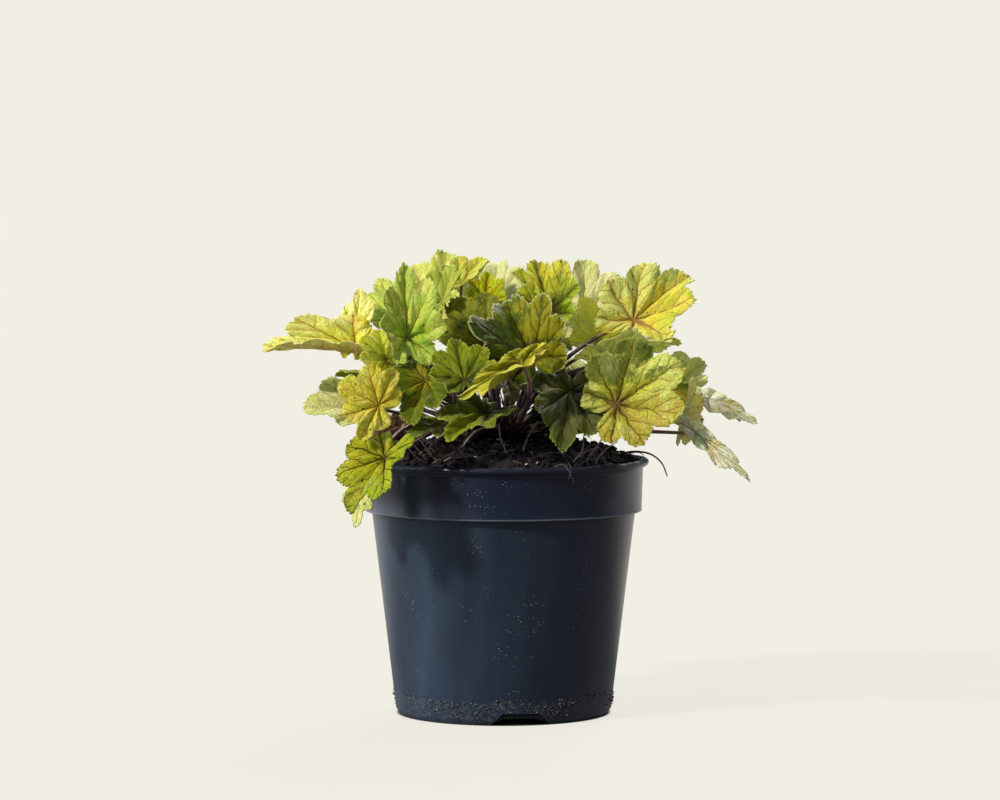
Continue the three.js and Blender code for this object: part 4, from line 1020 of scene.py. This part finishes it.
def halfLobe(turn, length, limit, low, tip, draw):  # columns from a lobe's tip to its sinus
    cuts = bladeSet["teeth"]
    moved = [cuts[0], cuts[1] * 2 * tip] + [c + (next(draw) - 0.5) * 0.1 for c in cuts[2:-1]]
    half = []
    for start, stop in zip(moved, moved[1:] + [cuts[-1]]):
        size = 1 + (next(draw) - 0.5) * 0.05
        depth = bladeSet["toothDepth"] * length * (
            1 + (next(draw) - 0.5) * 2 * bladeSet["toothVaries"])
        for along in bladeSet["alongTooth"]:
            s = start + (stop - start) * along
            # the tooth at the tip is whole only with the half on the other side
            crest = max(0.0, math.sin(math.pi * (along if start else 0.5 + along / 2)))
            envelope = length + (low + 0.02 * length - length) * s ** 2.6
            far = envelope * (1 + (size - 1) * crest)
            half.append((turn + (limit - turn) * s, far - depth * (1 - crest ** bladeSet["round"])))
    return half


def fineOutline(own, draw):  # round teeth along each lobe; gives turn, reach and lobe of each column
    cleft, columns = bladeSet["cleft"], []
    for i, (turn, length) in enumerate(own):
        before, after, lowBefore, lowAfter = lobeLimits(own, i)
        tipShift = 0.5 + (next(draw) - 0.5) * 0.3
        left = halfLobe(turn, length, before, lowBefore, 1 - tipShift, draw)
        right = halfLobe(turn, length, after, lowAfter, tipShift, draw)
        whole = left[::-1] + [(turn, length)] + (right if i == len(own) - 1 else right[:-1])
        columns += [(*column, i) for column in whole]
    # the cleft at the back, between the basal lobes
    foot = np.array([-cleft["foot"], 0])
    sides = []
    for (turn, reach, i), way in ((columns[0], -1), (columns[-1], 1)):
        end = np.array([reach * math.cos(math.radians(turn)), reach * math.sin(math.radians(turn))])
        side = []
        for k in range(1, cleft["steps"] + 1):
            share = k / cleft["steps"]
            bulge = cleft["bulge"] * math.sin(math.pi * share)
            p = end + (foot - end) * share - np.array([0.25 * bulge, -way * bulge * -0.3])
            turn = math.degrees(math.atan2(p[1], p[0])) if share < 1 else way * 180
            side.append((turn, float(np.linalg.norm(p)), i))
        sides.append(side)
    return sides[0][::-1] + columns + sides[1][:-1]


def bent(turn, far, leaf, extra=0):
    # where a point of the flat blade goes, as in the solid: swelling, cup, waves, fold and arch
    turn, far = np.asarray(turn, float), np.asarray(far, float)
    angle = np.radians(turn)
    x, y = far * np.cos(angle), far * np.sin(angle) * leaf["width"]
    stops = np.array([-180] + [lobe[0] for lobe in leaf["own"]] + [180], float)
    after = np.clip(np.searchsorted(stops, turn, "left"), 1, len(stops) - 1)
    between = (turn - stops[after - 1]) / (stops[after] - stops[after - 1])
    swell = bladeSet["pucker"] * np.sin(np.pi * between) ** 2 * 4 * far * np.maximum(0, 1 - far)
    wave = leaf["wave"] * np.sin((5 + leaf["seed"] % 3) * angle + leaf["seed"] * 1.7)
    lift = swell + (leaf["cup"] + wave) * far ** 2 + extra
    reach, fold, roll = abs(y), math.radians(leaf["fold"]), math.radians(leaf["roll"])
    steps = bladeSet["bendSteps"]

    def lean(s):
        return fold * (1 - np.exp(-s / bladeSet["hinge"])) + roll * s

    side, rise = -lift * np.sin(lean(reach)), lift * np.cos(lean(reach))
    for i in range(steps):
        slope = lean((i + 0.5) * reach / steps)
        side = side + np.cos(slope) * reach / steps
        rise = rise + np.sin(slope) * reach / steps
    curve = math.radians(leaf["arch"]) or 1e-6
    droop = curve * x
    return np.stack([np.sin(droop) / curve + rise * np.sin(droop), np.sign(y) * side,
                     (np.cos(droop) - 1) / curve + rise * np.cos(droop)], -1)


def settleLeaf(leaf):
    # the blade's size and axes, and the place that its solid was settled at
    leaf["draw"] = seeded(leaf["seed"])
    leaf["own"] = lobesOf(leaf["draw"])
    root, chord = np.array(leaf["root"], float), np.subtract(leaf["tip"], leaf["root"]).astype(float)
    end = bent(0, 1, leaf)
    leaf["size"] = np.linalg.norm(chord) / np.linalg.norm(end)
    tilt = math.atan2(end[2], end[0])
    along = chord / np.linalg.norm(chord)
    up = np.array(leaf["faces"], float)
    up -= along * np.dot(up, along)
    up /= np.linalg.norm(up)
    x = along * math.cos(tilt) - up * math.sin(tilt)
    z = along * math.sin(tilt) + up * math.cos(tilt)
    leaf["axes"] = np.array([x, np.cross(z, x), z])
    leaf["up"], leaf["along"] = up, along
    turns, fars = np.array(plainOutline(leaf["own"])).T
    solid = bent(turns, fars, leaf) * leaf["size"] @ leaf["axes"] + root
    low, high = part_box("leaf_" + leaf["name"])
    leaf["place"] = root + np.array((low + high) / 2) / mm - (solid.min(0) + solid.max(0)) / 2


def reliefOf(leaf, turn, far, share, sector, away, flat):
    # sunk veins with the blade puffed up between them, on the lines that the colours follow
    u, a = far * np.cos(away), abs(far * np.sin(away))
    origin = u - a * (bladeSet["lean"][0] + bladeSet["lean"][1] * a)
    phase = origin / bladeSet["sideVein"] + bladeSet["turnTaking"] * (far * np.sin(away) > 0) + 0.5
    middle = 1 - abs((phase % 1) - 0.5) * 2
    fade = np.clip(a / 0.09, 0, 1) * (1 - share ** 5)
    shift = Vector((leaf["seed"] * 3.1, 0, 0))
    roll = np.array([noise.noise(Vector(p) * 4 + shift) + 0.45 * noise.noise(Vector(p) * 11 + shift)
                     for p in flat])
    ruffle = np.sin(13 * np.radians(turn) + leaf["seed"]) * share ** 4
    lobeLift = np.array([(next(leaf["draw"]) - 0.5) * 2 for _ in leaf["own"]])[sector]
    within = np.cos(np.clip(away / math.radians(24), -1, 1) * math.pi / 2) ** 2
    return (bladeSet["quilt"] * (1 - (1 - middle) ** 2) * fade
            - bladeSet["groove"] * np.exp(-(a / 0.022) ** 2) * (1 - 0.6 * u) * (1 - share ** 6)
            + bladeSet["crumple"] * roll * share + bladeSet["ruffle"] * ruffle
            + bladeSet["lobeBend"] * lobeLift * within * far ** 2.5)


def bladeFaces(rings, count):  # quads between the rings, a fan round the hub, the same below, the rim
    hub, edge = rings * count, (rings - 1) * count
    after = [(k + 1) % count for k in range(count)]
    above = [(low + k, low + count + k, low + count + n, low + n)
             for low in range(0, edge, count) for k, n in enumerate(after)]
    above += [(hub, k, n) for k, n in enumerate(after)]
    below = [tuple(hub + 1 + c for c in f[::-1]) for f in above]
    rim = [(edge + k, hub + 1 + edge + k, hub + 1 + edge + n, edge + n) for k, n in enumerate(after)]
    return above, below, rim


def mapBlade(mesh, turn, far, flat, tips, sectors):
    # every face is measured along and across the middle vein of its own lobe
    count, hub = len(sectors), len(turn)
    loops = np.zeros(len(mesh.loops), int)
    mesh.loops.foreach_get("vertex_index", loops)
    here = loops % (hub + 1)
    column = np.where(here == hub, -1, here % count)
    faceOf = np.repeat(np.arange(len(mesh.polygons)), [len(p.vertices) for p in mesh.polygons])
    least, most = np.full(len(mesh.polygons), count), np.full(len(mesh.polygons), -1)
    np.minimum.at(least, faceOf, np.where(column < 0, count, column))
    np.maximum.at(most, faceOf, column)
    # a face belongs to the lobe of its first column, and the last column closes on the first one
    tip = tips[sectors[np.where(most - least > 1, most, least)]]
    angle = np.append(np.radians(turn), 0)[here] - np.radians(tip[faceOf])
    reach = np.append(far, 0)[here]
    maps = {"lobe": np.stack([reach * np.cos(angle), reach * np.sin(angle)], -1),
            "blade": np.vstack([flat[:, :2], (0, 0)])[here]}
    for name, places in maps.items():
        mesh.uv_layers.new(name=name).data.foreach_set("uv", places.ravel())


def makeBlade(leaf, material):
    columns = fineOutline(leaf["own"], leaf["draw"])
    turns, reaches, sectors = (np.array(row) for row in zip(*columns))
    rings = len(bladeSet["rings"])
    turn, share = np.tile(turns, rings), np.repeat(bladeSet["rings"], len(columns))
    far, sector = share * np.tile(reaches, rings), np.tile(sectors, rings)
    tips = np.array([lobe[0] for lobe in leaf["own"]])
    away = np.radians(turn - tips[sector])
    flat = np.stack([far * np.cos(np.radians(turn)), far * np.sin(np.radians(turn)), 0 * far], -1)
    relief = reliefOf(leaf, turn, far, share, sector, away, flat)
    mid = np.vstack([bent(turn, far, leaf, relief) * leaf["size"], np.zeros((1, 3))])
    above, below, rim = bladeFaces(rings, len(columns))
    corners = np.array([f[:3] for f in above])
    cross = np.cross(mid[corners[:, 1]] - mid[corners[:, 0]], mid[corners[:, 2]] - mid[corners[:, 0]])
    normal = np.zeros_like(mid)
    for k in range(3):
        np.add.at(normal, corners[:, k], cross)
    normal /= np.maximum(np.linalg.norm(normal, axis=1), 1e-9)[:, None]
    # the main veins stand out below
    half, keel = bladeSet["thick"] / 2, bladeSet["keel"]
    stand = keel * np.exp(-(abs(far * np.sin(away)) / 0.02) ** 2) * (1 - 0.8 * share)
    points = np.vstack([mid + normal * half, mid - normal * (half + np.append(stand, keel)[:, None])])
    piece = addPiece("blade_" + leaf["name"], points @ leaf["axes"] + leaf["place"],
                     above + below + rim, material, ["leaf_" + leaf["name"]])
    marks = {"share": np.tile(np.append(share, 0), 2), "under": np.repeat((0.0, 1.0), len(mid))}
    for key, values in marks.items():
        piece.data.attributes.new(key, "FLOAT", "POINT").data.foreach_set("value", values)
    mapBlade(piece.data, turn, far, flat, tips, sectors)


materials = {key: leafMaterial(key + "Leaf", look) for key, look in looks.items()}
for leaf in leaves:
    settleLeaf(leaf)
    makeBlade(leaf, materials[leaf["look"]])
print("blades grown:", len(leaves))

# the crown and the stalks, in millimetres
stalkSet = {
    "radiusLow": 1.15, "radiusHigh": 0.75, "solidRings": 6, "solidSides": 4,
    "from": {"radius": 4.5, "lowest": 123, "spread": 6}, "rootHeights": (116, 186),
    "leave": 0.3, "climbShare": 0.45, "climbLeast": 6, "under": 9, "behind": 4, "short": 1.15,
    "swings": (0, 6, -6, 12, -12, 18, -18, 26, -26), "lifts": (0, 7, -6, 14, 22, -12),
    "rings": 22, "sides": 8, "clasp": 0.5, "seed": 5,
    "hairs": 70, "hairLength": (0.5, 1.3), "hairRadius": 0.04,
    "low": "#240f17", "high": "#7e5e4a", "light": "#a9868a", "hairColours": ("#d8cdbb", "#a88c80"),
    "blotchSize": 3, "lineSize": 0.7, "hairPatch": 9,
}
crownSet = {
    "foot": [(0, 101), (7, 101), (8.2, 105), (8, 119)], "radius": 8, "shoulder": 120, "dome": 12,
    "stubs": 26, "stubLength": (3, 7), "stubRadii": [1.5, 1.35, 1.1, 0.8, 0.3], "stubTurn": 2.4,
    "stubRing": (7.6, 4.5), "stubRise": 9,  # the spiral's radius, what it loses, and how it climbs
    "old": 150, "oldTurn": 2.39996, "nearest": 5,  # radians between two, and their least reach
    "oldLength": (15, 42), "oldClimb": (0.12, 1.3), "oldRadius": (0.35, 0.7), "stops": 12,
}
# last year's stalks that lean out of the soil, bleached: thickness, and the stops of each
bleachedStalks = [
    (0.42, [(-31, -43, 113.5), (-34.5, -44, 117.5), (-38.5, -44, 122), (-43, -42, 127)]),
    (0.36, [(-28, -44, 114), (-31, -45, 118), (-34.5, -45, 122.5), (-39, -43, 128)]),
    (0.3, [(-33, -42, 114), (-37.5, -42.5, 117), (-41.5, -43, 121), (-45, -43, 124)]),
    (0.45, [(-34, -44, 113), (-31, -46, 114.8), (-28.4, -46, 117), (-28.2, -44, 121), (-29, -40, 124)]),
    (0.32, [(-29, -45, 113), (-25, -48, 116.6), (-20, -47, 118.6), (-16, -43, 121)]),
    (0.3, [(-22, -44, 114), (-27, -46, 119), (-31, -46, 123), (-36, -44, 126)]),
    (0.34, [(36, -40, 115), (38.5, -41, 119), (41.5, -41, 123), (44, -39, 128)]),
    (0.28, [(40, -42, 114), (42, -43, 118), (45.5, -42, 121.5), (50, -39, 124)]),
    (0.4, [(33, -38, 116), (34.5, -40, 121), (35, -40, 126), (36.5, -38, 132)]),
    (0.26, [(30, -44, 115), (33, -45, 118.4), (37, -44, 120.6), (42, -41, 121.6)]),
    (0.3, [(8, -40, 117), (9, -42, 122), (11, -42, 127), (15, -40, 133)]),
    (0.34, [(2, -42, 116), (0.5, -43, 121), (-1.5, -43, 126), (-2, -40, 132)]),
]


def stalkCurve(leaf, swing, lift):  # the four points of a stalk's curve, as in the solid
    s = stalkSet
    root = leaf["place"]
    out = np.array([root[0], root[1], 0]) / math.hypot(root[0], root[1])
    across = np.array([-out[1], out[0], 0])
    low, high = s["rootHeights"]
    height = min(1.0, max(0.0, (root[2] - low) / (high - low)))
    start = out * s["from"]["radius"]
    start[2] = s["from"]["lowest"] + s["from"]["spread"] * height
    end = root - leaf["up"] * s["short"]
    level = math.hypot(end[0] - start[0], end[1] - start[1])
    first = start + out * level * s["leave"] + across * swing
    first[2] += max(s["climbLeast"], (end[2] - start[2]) * s["climbShare"]) + lift
    second = end - leaf["up"] * s["under"] - leaf["along"] * s["behind"] + across * swing / 2
    second[2] += lift / 2
    return np.array([start, first, second, end])


def onCurve(curve, t):
    t = np.asarray(t, float)[:, None]
    return ((1 - t) ** 3 * curve[0] + 3 * (1 - t) ** 2 * t * curve[1]
            + 3 * (1 - t) * t ** 2 * curve[2] + t ** 3 * curve[3])


def chosenCurve(leaf, solid):  # the route that the solid's stalk takes: its corners lie round it
    inner = np.arange(1, stalkSet["solidRings"] - 1) / (stalkSet["solidRings"] - 1)
    low, high = stalkSet["radiusLow"], stalkSet["radiusHigh"]

    def wrong(curve):
        return sum(abs(found[2] - (low + (high - low) * t)) for t, p in zip(inner, onCurve(curve, inner))
                   for found in solid.find_n(p, stalkSet["solidSides"]))

    return min((stalkCurve(leaf, swing, lift) for lift in stalkSet["lifts"]
                for swing in stalkSet["swings"]), key=wrong)


def stalkMaterial():
    # a juicy herb stalk: wine red below, greener above, glossy skin under soft hairs
    material, add = newMaterial("wineRedStalk")
    place = add("NewGeometry")
    along = add("Attribute", {"attribute_name": "along"})
    blotch = add("TexNoise", {"Scale": perMetre(stalkSet["blotchSize"]), "Detail": 3, "Vector": place})
    mixed = add("Math", {"operation": "MULTIPLY_ADD", 0: blotch, 1: 0.8, 2: (along, "Fac")})
    climb = add("MapRange", {**smooth, "From": (0.75, 1.5), "Value": mixed})
    body = add("Mix", {"data_type": "RGBA", "Factor": climb, "A": stalkSet["low"], "B": stalkSet["high"]})
    # painted sheen: the stalk turns paler where it is seen edge-on, as if light caught in its hairs
    grazing = add("LayerWeight", {"Blend": 0.35})
    paintedStalkSheen = add("Math", {"operation": "MULTIPLY", 0: (grazing, "Facing"), 1: 0.45})
    colour = add("Mix", {"data_type": "RGBA", "Factor": paintedStalkSheen, "A": body, "B": stalkSet["light"]})
    lines = add("TexNoise", {"Scale": perMetre(stalkSet["lineSize"]), "Detail": 3, "Vector": place})
    bump = add("Bump", {"Strength": 0.3, "Distance": 0.0003, "Height": lines})
    shader = add("BsdfPrincipled", {"Roughness": 0.42, "IOR": 1.42, "Base Color": colour, "Normal": bump})
    add("OutputMaterial", {"Surface": shader})
    return material


def hairMaterial():
    # fine plant hairs, clear and dry, that catch the light
    material, add = newMaterial("softHair")
    light, dark = stalkSet["hairColours"]
    tint = add("TexNoise", {"Scale": perMetre(stalkSet["hairPatch"])})
    colour = add("Mix", {"data_type": "RGBA", "Factor": tint, "A": light, "B": dark})
    shader = add("BsdfPrincipled", {"Base Color": colour, "Roughness": 0.6, "Sheen Weight": 0.3})
    add("OutputMaterial", {"Surface": shader})
    return material


def addHair(line, radii, draw, points, faces):  # a thin spike, somewhere on the living part of a stalk
    at = draw.uniform(0.08, 0.98) * (stalkSet["rings"] - 1)
    i = int(at)
    ahead = line[i + 1] - line[i]
    centre = line[i] + ahead * (at - i)
    ahead = ahead / np.linalg.norm(ahead)
    out = np.array([draw.gauss(0, 1) for _ in range(3)])
    out -= ahead * np.dot(out, ahead)
    out /= np.linalg.norm(out)
    length = draw.uniform(*stalkSet["hairLength"])
    foot = centre + out * radii[i] * 0.9
    side = np.cross(out, ahead)
    base = len(points)
    thirdTurn = 2.0944
    for k in range(3):
        angle = thirdTurn * k
        points.append(foot + stalkSet["hairRadius"] * (math.cos(angle) * side + math.sin(angle) * ahead))
    points.append(foot + out * length + ahead * length * draw.uniform(-0.3, 0.3))
    faces += [(base, base + 1, base + 3), (base + 1, base + 2, base + 3),
              (base + 2, base, base + 3), (base, base + 2, base + 1)]


def makeStalks(draw):
    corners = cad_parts["crown_and_stalks"].data.vertices
    solid = kdtree.KDTree(len(corners))
    for vertex in corners:
        solid.insert(vertex.co / mm, vertex.index)
    solid.balance()
    points, faces, along, hairPoints, hairFaces = [], [], [], [], []
    t = np.linspace(0, 1, stalkSet["rings"])
    share = np.append(t, 1)
    for leaf in leaves:
        line = np.vstack([onCurve(chosenCurve(leaf, solid), t), leaf["place"] - leaf["up"] * 0.5])
        radii = stalkSet["radiusLow"] + (stalkSet["radiusHigh"] - stalkSet["radiusLow"]) * share
        radii = radii * (1 + 0.05 * np.sin(share * 17 + leaf["seed"]))
        radii += stalkSet["clasp"] * np.exp(-share / 0.08)  # the clasping base
        radii[-1] *= 0.8
        tube(line, radii, stalkSet["sides"], points, faces)
        along += list(np.repeat(share, stalkSet["sides"]))
        for _ in range(stalkSet["hairs"]):
            addHair(line, radii, draw, hairPoints, hairFaces)
    piece = addPiece("leafStalks", points, faces, stalkMaterial(), ["crown_and_stalks"])
    piece.data.attributes.new("along", "FLOAT", "POINT").data.foreach_set("value", along)
    addPiece("stalkHairs", hairPoints, hairFaces, hairMaterial())


def addStubs(draw, points, faces):  # dry bases of old stalks, in a spiral over the crown
    for i in range(crownSet["stubs"]):
        angle, share = i * crownSet["stubTurn"], i / crownSet["stubs"]
        radius = crownSet["stubRing"][0] - crownSet["stubRing"][1] * share ** 1.5
        out = np.array([math.cos(angle), math.sin(angle), 0])
        foot = out * radius + np.array([0, 0, crownSet["shoulder"] + crownSet["stubRise"] * share])
        length = draw.uniform(*crownSet["stubLength"])
        line = [foot + out * (0.3 + k * 0.35) + np.array([0, 0, length * k / 4]) for k in range(5)]
        tube(line, crownSet["stubRadii"], 6, points, faces)


def addOldStalks(draw, points, faces):  # thin ones that stand and lie between the living ones
    stops = crownSet["stops"]
    for i in range(crownSet["old"]):
        angle = i * crownSet["oldTurn"] + draw.uniform(-0.3, 0.3)
        out = np.array([math.cos(angle), math.sin(angle), 0])
        aside = np.array([-out[1], out[0], 0]) * draw.uniform(-0.5, 0.5)
        length = draw.uniform(*crownSet["oldLength"])
        climb = draw.uniform(*crownSet["oldClimb"]) * 30 / length  # the short ones stand
        line = []
        for t in np.linspace(0, 1, stops):
            level = crownSet["nearest"] + length * t
            p = out * level + aside * length * t ** 2
            p[2] = max(122 + 6 * t + length * climb * (t - 0.25 * t * t) - 1.5 * math.sin(3 * t),
                       soilHeight(min(soilSet["inside"], level)) + 0.8)
            line.append(p)
        thick = draw.uniform(*crownSet["oldRadius"])
        tube(line, thick * np.linspace(1, 0.6, stops), 5, points, faces)


def makeCrown(draw):  # woody, ringed with the bases of stalks that have gone
    profile = list(crownSet["foot"])
    for i in range(8):
        angle = math.pi / 2 * i / 8
        profile.append((crownSet["radius"] * math.cos(angle) * 0.98,
                        crownSet["shoulder"] + crownSet["dome"] * math.sin(angle)))
    profile.append((0, crownSet["shoulder"] + crownSet["dome"]))
    points, faces = turned(profile, 40)
    points = [tuple(np.array(p) + np.array([p[0], p[1], 0]) * 0.12 * noise.noise(Vector(p) / 2.5))
              for p in points]
    addStubs(draw, points, faces)
    addOldStalks(draw, points, faces)
    addPiece("crownScales", points, faces, earthMaterial("dryScalyCrown"))
    addThreads("bleachedStalks", bleachedStalks, count=18, thin=0.7, sides=6)


draws = random.Random(stalkSet["seed"])
makeStalks(draws)
makeCrown(draws)
print("stalks and crown grown")

print("plant finished")
